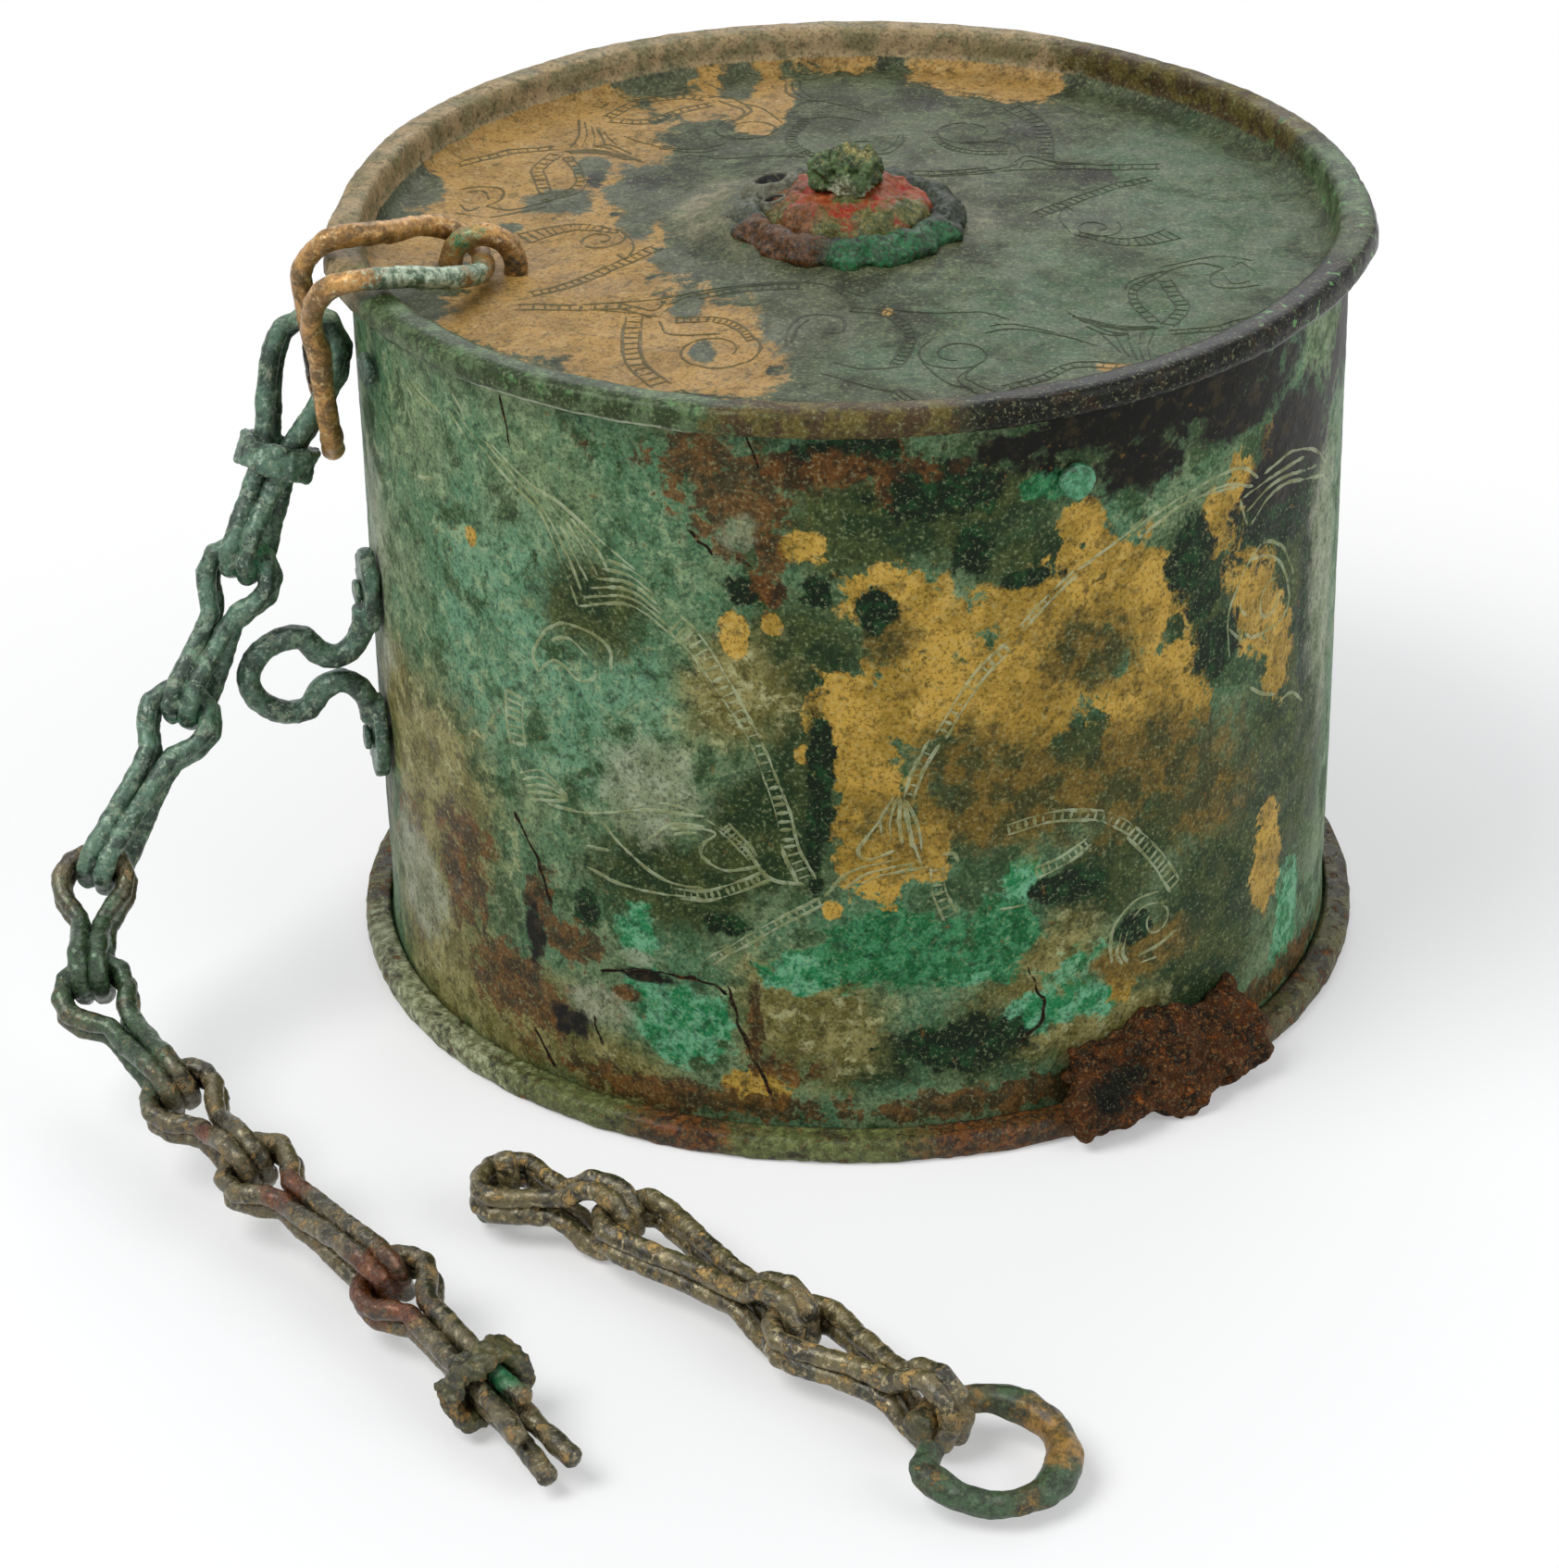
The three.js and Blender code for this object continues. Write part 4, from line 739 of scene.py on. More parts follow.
# the engraved lines
WALL_UNIT = (math.radians(1) * WALL_RADIUS, 1.0)
STROKE_STEP = 0.2
SPIRAL_POINTS = 25
WALL_LINE_HALF = 0.17
CRACK_HALF = 0.2
LID_LINE_HALF = 0.16
WORN_LINE_HALF = 0.1

# a strip's section from side to side: share of its half-width, and height in millimetres
STRIP = [(-1, -0.03), (-0.6, 0.045), (0, 0.004), (0.6, 0.045), (1, -0.03)]


def through(corners, spacing=STROKE_STEP):
    """Points of a smooth curve through the corners, spaced evenly."""
    c = np.asarray(corners, float)
    padded = np.vstack([2 * c[0] - c[1], c, 2 * c[-1] - c[-2]])
    curve = []
    for i in range(len(c) - 1):
        p0, p1, p2, p3 = padded[i:i + 4]
        n = max(1, math.ceil(np.linalg.norm(p2 - p1) / spacing))
        for t in np.arange(n) / n:
            curve.append(0.5 * (2 * p1 + (p2 - p0) * t + (2 * p0 - 5 * p1 + 4 * p2 - p3) * t * t
                                + (3 * p1 - p0 - 3 * p2 + p3) * t ** 3))
    curve.append(c[-1])
    return np.array(curve)


def sides_of(line):
    """The direction to the left of a flat line at each of its points."""
    along = np.gradient(line, axis=0)
    along /= np.maximum(np.linalg.norm(along, axis=1, keepdims=True), 1e-9)
    return np.stack([-along[:, 1], along[:, 0]], -1)


def groove(stroke, half_width, seed):
    """A strip with raised lips and a low middle along a stroke: flat points, heights and faces."""
    side = sides_of(stroke)
    spot = np.column_stack([stroke, np.full(len(stroke), float(seed))])
    uneven = 0.95 + 0.7 * value_noise(spot, 2.2, 61) + 0.3 * value_noise(spot, 0.5, 62)
    width = half_width * np.clip(uneven, 0.12, 1.35)
    wobble = 0.05 * value_noise(spot, 1.1, 63)
    ends = np.minimum(np.arange(len(stroke)), np.arange(len(stroke))[::-1])
    width *= np.clip((ends + 0.4) / 2.5, 0.15, 1)
    sunk = np.where(width < 0.35 * half_width, -0.03, 0.0)
    flat = np.stack([stroke + side * (share * width + wobble)[:, None] for share, _ in STRIP], 1)
    lift = np.stack([height + sunk for _, height in STRIP], 1)
    corners = [i * len(STRIP) + k for i in range(len(stroke) - 1) for k in range(len(STRIP) - 1)]
    faces = [(a, a + len(STRIP), a + len(STRIP) + 1, a + 1) for a in corners]
    return flat.reshape(-1, 2), lift.reshape(-1), faces


def gathered(strokes, half_width):
    """All the strokes' strips put together."""
    flats, lifts, faces = [], [], []
    start = 0
    for i, stroke in enumerate(strokes):
        if len(stroke) < 3:
            continue
        flat, lift, quads = groove(stroke, half_width, i)
        flats.append(flat)
        lifts.append(lift)
        faces += [tuple(a + start for a in quad) for quad in quads]
        start += len(flat)
    return np.vstack(flats), np.concatenate(lifts), faces


class Engraver:
    """Collects engraved strokes in millimetres.

    Places are given in steps of the surface, and a unit is how long a step is in each direction. On the wall
    they are an azimuth in degrees and a height, on the lid x and y. A shift moves all of them.
    """

    def __init__(self, unit, shift=(0, 0)):
        self.unit = np.array(unit)
        self.shift = np.array(shift)
        self.strokes = []

    def curve(self, places):
        return through((np.asarray(places, float) + self.shift) * self.unit)

    def line(self, *places):
        self.strokes.append(self.curve(places))

    def ladder(self, rungs, first, last, *places):
        """Two rails with rungs between them, first and last millimetres apart at the middle line's ends."""
        middle = self.curve(places)
        side = sides_of(middle)
        half = np.linspace(first, last, len(middle))[:, None] / 2
        self.strokes += [middle + side * half, middle - side * half]
        for i in range(rungs + 1):
            at = int((i + 0.5) / (rungs + 1) * (len(middle) - 1))
            reach = side[at] * half[at]
            self.strokes.append(through([middle[at] + reach, middle[at] - reach]))

    def spiral(self, centre, start, turn, outer, inner):
        """A coil from an angle through a turn in degrees, its radius going from outer to inner."""
        angles = np.radians(start + np.linspace(0, turn, SPIRAL_POINTS))
        radius = np.linspace(outer, inner, SPIRAL_POINTS)
        coil = np.stack([radius * np.cos(angles), radius * np.sin(angles)], -1)
        self.strokes.append(through(coil + (np.array(centre) + self.shift) * self.unit))

    def fan(self, count, first, last):
        """Lines spread between a first and a last line, each given by as many places."""
        for i in range(count):
            share = i / (count - 1)
            self.line(*[(1 - share) * np.array(a) + share * np.array(b) for a, b in zip(first, last)])


def engrave_left_horn(e):
    """A horn swelling down from the rim into a fan of feathers, and the stem that goes on from it."""
    e.fan(3, [(211.5, 64), (214, 63)], [(213, 64.5), (220, 63)])
    e.fan(2, [(221, 64), (224, 62)], [(222, 64.5), (226, 62)])
    e.line((226, 62), (231, 59.5), (235, 57.5), (238, 53), (239.5, 50))
    e.line((227, 62.5), (232, 60), (236, 57.5), (239, 53.5), (240, 51.5))
    e.line((228, 62.5), (234, 60), (238, 59), (243, 56.5), (247, 54.5))
    e.fan(3, [(237.5, 57.5), (239.5, 54.5), (241, 52.5)], [(239, 58), (242, 56), (243.5, 54)])
    e.fan(6, [(243.5, 55), (246, 54.6), (248.5, 53.5)], [(239.5, 50), (246, 51.2), (251, 49)])
    e.ladder(14, 2.0, 0.9, (251, 50.3), (253.5, 48.5), (256.5, 45), (260, 40))
    e.ladder(16, 0.9, 1.6, (260, 40), (262.5, 34), (263.5, 30), (265.3, 26.7))


def engrave_left_hook(e):
    e.line((233.5, 42.5), (233, 44.5), (236, 47.5), (239.5, 48), (243, 47), (243.5, 44.5))
    e.line((235.5, 46), (238, 46.7), (240.5, 45.5))
    e.line((233.5, 42.5), (235.5, 44), (237, 44), (239, 43), (241, 43.5), (241.5, 44.5))
    e.line((212, 41), (214.5, 40))
    e.line((213.5, 55.5), (217.5, 56.5))
    e.line((221.5, 66), (224, 64))


def engrave_left_leaf(e):
    """A leaf lying on its side at the foot of the stem, with a curl inside it."""
    e.line((245, 32), (250, 33), (254, 32), (258, 30), (261, 27), (265, 26.5))
    e.ladder(13, 0.9, 0.9, (250, 24.3), (254, 24.6), (258, 26), (261, 27.3))
    e.ladder(8, 1.2, 0.8, (256, 31.6), (258, 30), (259.5, 28.5))
    e.line((249.5, 30.5), (252, 31), (255, 30.8), (253.5, 29.5), (253.5, 28.3), (256, 27.3), (260, 28))
    e.fan(2, [(247, 29), (250, 31), (254, 31.3)], [(250, 30), (251.5, 30.4), (253, 30.6)])
    e.fan(5, [(230, 32), (233.5, 33), (237, 31.5)], [(231, 29.7), (234, 30.3), (237, 31)])
    e.line((234, 30), (240, 30.4), (247, 32), (254, 32.3))
    e.line((239, 27), (242.5, 27.2))
    e.line((241, 30), (244.5, 27.5), (249, 25.4), (253.5, 25.2))
    e.line((239, 25), (245, 24), (253.5, 24.2))
    e.ladder(6, 2.0, 1.8, (229.8, 39.7), (229.6, 37), (230, 34.5))


def engrave_middle_stem(e):
    """The stem over the ochre to the right, its fan of roots, and the band running down to the left."""
    e.ladder(16, 0.7, 0.7, (253.5, 17.8), (258, 20.4), (262.5, 22.9), (267, 25))
    e.ladder(9, 0.5, 0.6, (295.5, 53.6), (292, 51.6), (289, 49.3))
    e.ladder(10, 0.9, 1.0, (287.8, 48), (284, 45.3), (280, 40.3))
    e.ladder(5, 1.0, 0.8, (279.5, 40), (277.5, 37.2), (276.5, 34.5))
    e.fan(5, [(275, 35), (273.5, 33), (273.5, 31)], [(276.3, 34.6), (277.5, 32), (278, 29.5)])
    e.line((275, 35), (273, 32.3), (271, 30), (272, 29), (275, 29.8))
    e.line((276, 34.6), (276.5, 31.5), (278, 28))
    e.fan(3, [(267, 25.3), (270, 27.8), (275.7, 29)], [(271, 26.6), (274, 27.5), (279, 28)])
    e.line((280, 29), (281.5, 29), (282, 28))
    e.ladder(6, 1.1, 1.2, (279.6, 28), (279.8, 25.5), (281.2, 22.7))
    e.line((286.5, 23), (289.5, 23))


def engrave_right_horn(e):
    e.line((295.5, 53.7), (302, 56), (310, 57.8), (318, 58), (322, 56))
    e.fan(2, [(303, 55.2), (310, 57), (318.5, 56.3)], [(310, 57), (316, 57), (321, 55.5)])
    e.line((302, 56), (304, 57))
    e.fan(3, [(319, 55), (325.5, 55.2), (333, 54.6)], [(320.5, 52), (327, 53.7), (341, 50.2)])
    e.line((323, 56), (329, 56.2), (335, 54.6), (340, 52))
    e.line((318.5, 55), (319.3, 53.4), (320.2, 52))


def engrave_right_scroll(e):
    e.line((320.5, 48.5), (323.5, 49.5), (328, 47.6), (331, 44))
    e.line((319, 47.3), (321.5, 48.6), (327, 46.7), (330, 42.5), (328, 40.7), (322, 41), (320, 42))
    e.line((319, 47.3), (317, 44.5), (317.4, 40.4))
    e.spiral((325.3, 43.5), 60, 330, 1.9, 1.2)
    e.line((317, 43.3), (319.7, 41.3))
    e.line((319, 45.5), (319.5, 44.2), (321, 43.2))
    e.line((321.5, 36.3), (324, 34.9), (327, 33.7))
    e.line((327.5, 32.7), (331, 32.5), (334.5, 30.5))


def engrave_low_arch(e):
    """The arch low on the right and the curl that it hangs over."""
    e.ladder(15, 1.0, 0.9, (287.2, 30.6), (293, 31.1), (299, 30), (303, 27.7))
    e.ladder(11, 1.1, 1.4, (302.7, 27.7), (306, 24.6), (309.4, 20.4))
    e.ladder(8, 1.0, 0.8, (290.8, 25.9), (294.5, 26.7), (297.4, 28))
    e.line((307, 20.7), (303.5, 20.6), (300.5, 18.4), (300.5, 15))
    e.line((307, 19.5), (305, 19.8), (303.3, 19))
    e.spiral((306.6, 17.9), 60, -290, 1.4, 1.0)
    e.fan(2, [(302, 18.3), (301.2, 16), (302, 14.5)], [(302.8, 18), (302, 16), (302.8, 14.5)])
    e.line((304, 15), (307, 15.3), (310, 16.2))
    e.line((304.5, 14.2), (307, 14.1))


def engrave_lid_left(e):
    """The leaf spray at the far left: a band, a fan, two drops and small scrolls."""
    e.ladder(9, 0.9, 0.8, (-36, 18), (-32.5, 20.3), (-30.8, 21.3), (-27, 21.9))
    e.fan(3, [(-26.3, 21), (-23.5, 21.3), (-20.5, 19.8), (-19, 18.4)],
          [(-25.8, 20.6), (-23.3, 20.6), (-21, 19.3), (-19.8, 18.6)])
    e.line((-23.7, 22.3), (-21.8, 22.2), (-20, 20.2))
    e.fan(5, [(-25.4, 29), (-25.1, 25), (-25.8, 21.7)], [(-22.9, 26), (-22.2, 24), (-21.4, 22.2)])
    e.ladder(9, 1.2, 1.1, (-26.9, 20.6), (-28.4, 17), (-27.9, 14), (-27.2, 10.5))
    e.ladder(11, 0.9, 0.6, (-26, 20), (-24.6, 16), (-24.6, 12.5), (-27.4, 9))
    e.line((-23.7, 13), (-24.5, 10.8), (-27.7, 8.8), (-30.3, 7.4), (-32.5, 8.3))
    e.line((-35.2, 6.8), (-32, 5.8), (-27, 8))
    e.line((-35.3, 12.2), (-33, 12.8), (-31.3, 12), (-31.3, 9.8), (-32.5, 8.3))
    e.line((-34.5, 11.5), (-33, 11.8), (-32.3, 9.8))
    e.line((-35, 9), (-34, 7.2), (-33, 8.2))
    e.line((-41, 7.2), (-40, 9), (-39, 9.8))
    e.fan(2, [(-23.7, 22), (-22, 21.5), (-18.7, 17.7)], [(-23.7, 21.6), (-22.1, 20.6), (-20.4, 18.8)])


def engrave_lid_front(e):
    """The scroll at the front left, with the long stem that ends near the boss."""
    e.ladder(12, 2.4, 0.6, (-28.6, 0.4), (-26, 2.1), (-23.5, 2.4), (-20, 0.8))
    e.spiral((-21.8, -0.6), 40, -480, 2.4, 0.6)
    e.line((-19.6, 0.7), (-18.7, -2.5), (-19.2, -5.2), (-20.1, -4.3))
    e.ladder(17, 0.9, 1.2, (-27.2, -12.5), (-23.8, -10.5), (-20.4, -7.2), (-16.5, -3))
    e.ladder(8, 1.2, 1.2, (-28.2, -15.2), (-23, -15.3), (-18.7, -15.3))
    e.fan(2, [(-19.4, -14.7), (-16.4, -16.6), (-15.3, -14.5)], [(-19.4, -15.7), (-16.3, -17.8), (-15, -16.2)])
    e.line((-21.6, -14.8), (-16, -14.3), (-9.3, -12.3), (-3, -12.4), (2, -15.2))
    e.line((-21.6, -15.9), (-18, -16.9), (-16.4, -18.1))
    e.line((-15.3, -15.7), (-14, -14.5), (-12.6, -13.7))
    e.ladder(13, 1.4, 1.6, (-17.9, -17.3), (-18, -22.5), (-17.3, -27), (-15, -31.2))
    e.ladder(7, 1.2, 1.0, (-14, -32.3), (-12.5, -33.6), (-10.3, -34.5))
    e.ladder(12, 0.8, 1.0, (-12.7, -14.3), (-8.8, -13), (-3.8, -12.9))
    e.ladder(14, 1.0, 0.6, (-14.5, -18.7), (-11, -18.8), (-8.8, -20.7), (-7.8, -23.3))
    e.spiral((-10.9, -24.6), 40, -430, 4.0, 1.6)
    e.line((-15.8, -18.7), (-14.7, -21.3), (-10.5, -21.6))
    e.line((-4.9, -24.3), (-4.9, -21.5), (-3.5, -18.5), (-0.5, -18.8), (-0.3, -21.5), (-2, -21.7))
    e.line((-4.6, -23.6), (-4, -20.7), (-3, -19))
    e.ladder(18, 0.7, 1.1, (0.3, -17.3), (3.5, -18.2), (5.4, -22.5), (4.2, -28))
    e.line((4.7, -28.2), (1.5, -28.6), (-1, -27.3))


def engrave_lid_back(e):
    """The leaves and coils at the back, left of the middle."""
    e.ladder(9, 1.6, 1.2, (-24.2, 32), (-22.2, 36.2), (-19.2, 40.4))
    e.ladder(12, 1.0, 1.1, (-22.8, 29.2), (-20, 33.3), (-16, 34.8), (-13.6, 34.3))
    e.ladder(11, 1.0, 0.9, (-22.7, 28.7), (-19, 28.3), (-16, 31), (-13, 32.8))
    e.line((-13.5, 34.4), (-11.5, 34.5), (-9.3, 31), (-11, 28))
    e.line((-12.5, 33.7), (-10, 31), (-10.5, 28.5))
    e.spiral((-9.3, 26), 130, 500, 3.4, 1.2)
    e.line((-10.5, 33), (-8.3, 31.5), (-6.3, 27.5))
    e.line((-21, 24.6), (-17.5, 22), (-14, 21), (-11.5, 22))
    e.line((-17.6, 21.6), (-14, 20.1), (-12, 20.6))
    e.line((-13.8, 19.3), (-11.5, 18), (-7.3, 18.2), (-4, 17.6))
    e.spiral((-4.4, 40.2), 230, -330, 2.6, 1.6)
    e.fan(3, [(-6.2, 37.4), (-6, 35.3), (-4.5, 33.2)], [(-4.9, 38.6), (-4.6, 35.7), (-3.8, 34)])
    e.line((-4.3, 33.4), (-1.8, 32.3), (2, 29.5))


WALL_ORNAMENT = (engrave_left_horn, engrave_left_hook, engrave_left_leaf, engrave_middle_stem,
                 engrave_right_horn, engrave_right_scroll, engrave_low_arch)
LID_ORNAMENT = (engrave_lid_left, engrave_lid_front, engrave_lid_back)


# where the zones lie on the surfaces, and how the surfaces are worn
def zone_field(a, b, zones, turn=0.0):
    """How deep each point lies in the nearest of the zones: 1 at a centre, 0.5 at the edge."""
    deepest = np.zeros(len(a))
    for centre_a, centre_b, half_a, half_b in zones:
        away = a - centre_a
        if turn:
            away = (away + turn / 2) % turn - turn / 2
        deepest = np.maximum(deepest, 1 - 0.5 * np.hypot(away / half_a, (b - centre_b) / half_b))
    return np.clip(deepest, 0, 1)


def azimuth_of(points):
    return np.degrees(np.arctan2(points[:, 1], points[:, 0])) % 360


def radius_of(points):
    return np.hypot(points[:, 0], points[:, 1])


def arcs_field(azimuth, *arcs):
    """1 on some arcs of (strength, centre, half-width, soft edge), in degrees, and 0 away from them."""
    highest = np.zeros(len(azimuth))
    for strength, centre, half, edge in arcs:
        away = np.abs((azimuth - centre + 180) % 360 - 180)
        highest = np.maximum(highest, strength * smooth_step(half + edge, half - edge, away))
    return highest


def wall_fields(points):
    azimuth = azimuth_of(points)
    return {key: zone_field(azimuth, points[:, 2], zones, 360) for key, zones in WALL_ZONES.items()}


def lid_fields(points):
    fields = {key: zone_field(points[:, 0], points[:, 1], zones) for key, zones in LID_ZONES.items()}
    azimuth = azimuth_of(points)
    radius = radius_of(points)
    rim = smooth_step(RIM_INNER - 0.6, RIM_INNER, radius)
    face = smooth_step(LID_RIM_RADIUS - 0.6, LID_RIM_RADIUS - 0.2, radius)
    for key, arcs in RIM_ARCS.items():
        fields[key] = rim * arcs_field(azimuth, *arcs)
    fields["rim_black"] = np.maximum(fields["rim_black"], rim * face * arcs_field(azimuth, (1, 5, 25, 18)))
    # a painted highlight: a pale line along the rim's lower edge at the front left
    seam = smooth_step(BOX_HEIGHT - BEAD_HEIGHT + 0.7, BOX_HEIGHT - BEAD_HEIGHT + 0.1, points[:, 2])
    fields["painted_rim_highlight"] = rim * seam * arcs_field(azimuth, (1, 240, 14, 5))
    return fields


def rim_wave(azimuth):
    places, shifts = zip(*RIM_WAVES)
    return np.interp((azimuth + 30) % 360 - 30, places, shifts)


def wall_push(points):
    """How far the wall's outer skin stands off its true radius, and how far its inner skin does."""
    low = FLANGE_INSET + SHEET
    high = BOX_HEIGHT - low
    free = smooth_step(low, low + 4.5, points[:, 2]) * smooth_step(high, high - 5.1, points[:, 2])
    swell = 0.28 * fractal(points, 26, 2, 3) * free
    pitted = 0.05 * fractal(points, 3, 2, 8) + 0.03 * fractal(points, 0.9, 1, 9)
    azimuth = azimuth_of(points)
    across = (azimuth - BLISTER_PLACE[0]) * WALL_UNIT[0] / BLISTER_SIZE[0]
    upward = (points[:, 2] - BLISTER_PLACE[1]) / BLISTER_SIZE[1]
    blister = 0.55 * smooth_step(1.3, 0.2, np.hypot(across, upward))
    crater = zone_field(azimuth, points[:, 2], CRATERS)
    return swell + pitted * free + blister - 0.3 * crater, swell


def plate_height(radius):
    return np.interp(radius, *zip(*PLATE_OUTLINE))


def lid_push(points):
    """How far the lid's plate stands off its true height."""
    radius = radius_of(points)
    calm = smooth_step(RIM_INNER - 0.5, RIM_INNER - 5, radius) * smooth_step(11, 14, radius)
    sag = 0.24 * fractal(points, 16, 2, 21) * calm
    beside = arcs_field(azimuth_of(points), (1, 165, 40, 45))
    mound = (0.5 + 1.1 * beside) * smooth_step(COLLAR_RADIUS + 3.5 + 2 * beside, COLLAR_RADIUS - 1.5, radius)
    mound *= 0.85 + 0.5 * fractal(points, 5, 2, 27)
    pitted = 0.05 * fractal(points, 2.4, 2, 22) + 0.03 * fractal(points, 0.8, 1, 23)
    return sag + np.maximum(mound, 0) + pitted * smooth_step(9, 12, radius)


def on_wall(flat, lift):
    """Points of the unrolled wall put back on its skin, raised by a lift, with the wall's fields."""
    azimuth = flat[:, 0] / WALL_RADIUS
    verts = np.stack([WALL_RADIUS * np.cos(azimuth), WALL_RADIUS * np.sin(azimuth), flat[:, 1]], -1)
    outer, _ = wall_push(verts)
    fields = wall_fields(verts)
    verts[:, :2] *= ((WALL_RADIUS + outer + lift) / WALL_RADIUS)[:, None]
    return verts, fields


def make_wall_lines():
    """The ornament on the front of the wall, and the same again on the back."""
    strokes = []
    for shift in (0, 180):
        e = Engraver(WALL_UNIT, (shift, 0))
        for engrave in WALL_ORNAMENT:
            engrave(e)
        strokes += e.strokes
    flat, lift, faces = gathered(strokes, WALL_LINE_HALF)
    verts, fields = on_wall(flat, lift)
    new_piece("wall_engraving", verts, faces, wall_line_paint, "box", (), fields)


def make_cracks():
    e = Engraver(WALL_UNIT)
    for places in CRACKS:
        e.line(*places)
    flat, lift, faces = gathered(e.strokes, CRACK_HALF)
    spot = np.column_stack([flat, np.zeros(len(flat))])
    flat += 0.25 * np.column_stack([value_noise(spot, 1.1, seed) for seed in (71, 72)])
    verts, _ = on_wall(flat, lift)
    # black where the strip lies low: painted shade inside the crack, with rust-brown on its raised lips
    fields = {"black": 0.35 + 0.6 * smooth_step(0.02, 0.0, lift)}
    new_piece("wall_cracks", verts, faces, rust_paint, "box", (), fields)


def make_lid_lines(name, unit, half_width):
    """The lid's ornament; a unit of minus one turns it half round."""
    e = Engraver((unit, unit))
    for engrave in LID_ORNAMENT:
        engrave(e)
    flat, lift, faces = gathered(e.strokes, half_width)
    radius = radius_of(flat)
    verts = np.column_stack([flat, plate_height(radius)])
    fields = lid_fields(verts)
    verts[:, 2] += lid_push(verts) + lift
    bare = (radius < RIM_INNER - LID_CORNER) & (radius > COLLAR_RADIUS + 1)
    faces = [f for f in faces if all(bare[a] for a in f)]
    new_piece(name, verts, faces, lid_line_paint, "box", (), fields)


# the box
def divided(corners, spacing):
    """An outline's corners with points between them no more than spacing apart, without the last corner."""
    points = []
    for a, b in zip(corners, corners[1:]):
        n = max(1, math.ceil(math.dist(a, b) / spacing))
        points += [(a[0] + (b[0] - a[0]) * i / n, a[1] + (b[1] - a[1]) * i / n) for i in range(n)]
    return points


def widened(verts, push):
    """Moves points away from the axis by a push for each."""
    radius = radius_of(verts)
    verts[:, :2] *= ((radius + push) / radius)[:, None]


def wall_profile():
    """Outline of the wall: flange, outside, flange and bore."""
    low, high = FLANGE_INSET, BOX_HEIGHT - FLANGE_INSET
    lower_edge = BASE_RIM_RADIUS - FLANGE_INSET
    upper_edge = LID_RIM_RADIUS - FLANGE_INSET
    foot = [(BORE_RADIUS, low), (lower_edge, low), (lower_edge, low + SHEET), (WALL_RADIUS, low + SHEET)]
    head = [(WALL_RADIUS, high - SHEET), (upper_edge, high - SHEET), (upper_edge, high), (BORE_RADIUS, high)]
    return divided(foot, 3.0) + divided([foot[-1], head[0]], 0.45) + divided(head + foot[:1], 3.0)


def make_wall():
    """The wall with its two flanges and its lapped seam at the back."""
    verts, faces = turned(wall_profile(), ROUND_STEPS)
    fields = wall_fields(verts)
    radius = radius_of(verts)
    height = verts[:, 2]
    azimuth = azimuth_of(verts)
    ends = (smooth_step(BEAD_HEIGHT, BEAD_HEIGHT + 0.8, height)
            * smooth_step(BOX_HEIGHT - BEAD_HEIGHT, BOX_HEIGHT - BEAD_HEIGHT - 0.8, height))
    lap = smooth_step(4.1, 3.7, np.abs(azimuth - SEAM_AZIMUTH)) * 0.45 * ends
    outer_push, inner_push = wall_push(verts)
    push = np.where(np.abs(radius - WALL_RADIUS) < 0.05, outer_push + lap, 0)
    push = np.where(radius < BORE_RADIUS + 0.05, inner_push, push)
    upper_flange = (radius > WALL_RADIUS + 0.1) & (height > BOX_HEIGHT / 2)
    widened(verts, np.where(upper_flange, rim_wave(azimuth), push))
    new_piece("wall", verts, faces, wall_paint, "box", ("body_wall",), fields)


def corner_arc(radius):
    """The lid's rounded corner between plate and rim, about a shared centre, from the plate upwards."""
    centre = (RIM_INNER - LID_CORNER, LID_TOP + LID_CORNER)
    turns = [math.radians(90 * i / CORNER_STEPS - 90) for i in range(CORNER_STEPS + 1)]
    return [(centre[0] + radius * math.cos(t), centre[1] + radius * math.sin(t)) for t in turns]


def lid_top():
    """The side of the lid that is seen: plate, corner, rim and the edge folded down."""
    edge = LID_RIM_RADIUS
    low, high = BOX_HEIGHT - BEAD_HEIGHT, BOX_HEIGHT
    return PLATE_OUTLINE + corner_arc(LID_CORNER) + [
        (RIM_INNER + 0.1, high - 0.8), (RIM_INNER + 0.35, high - 0.2), (RIM_INNER + 0.9, high),
        (edge - 0.9, high), (edge - 0.25, high - 0.25), (edge, high - 0.9), (edge, low + 0.6),
        (edge - 0.25, low + 0.15), (edge - 0.7, low)]


def lid_under():
    """The hidden side of the lid, from the fold back to the middle."""
    inside = LID_RIM_RADIUS - SHEET
    low, high = BOX_HEIGHT - BEAD_HEIGHT, BOX_HEIGHT - SHEET
    fold = [(FOLD_RADIUS, low), (FOLD_RADIUS, low + SHEET), (inside, low + SHEET), (inside, high),
            (RIM_INNER + SHEET, high)]
    return fold + corner_arc(LID_CORNER + SHEET)[::-1] + [(r, z - SHEET) for r, z in reversed(PLATE_OUTLINE)]


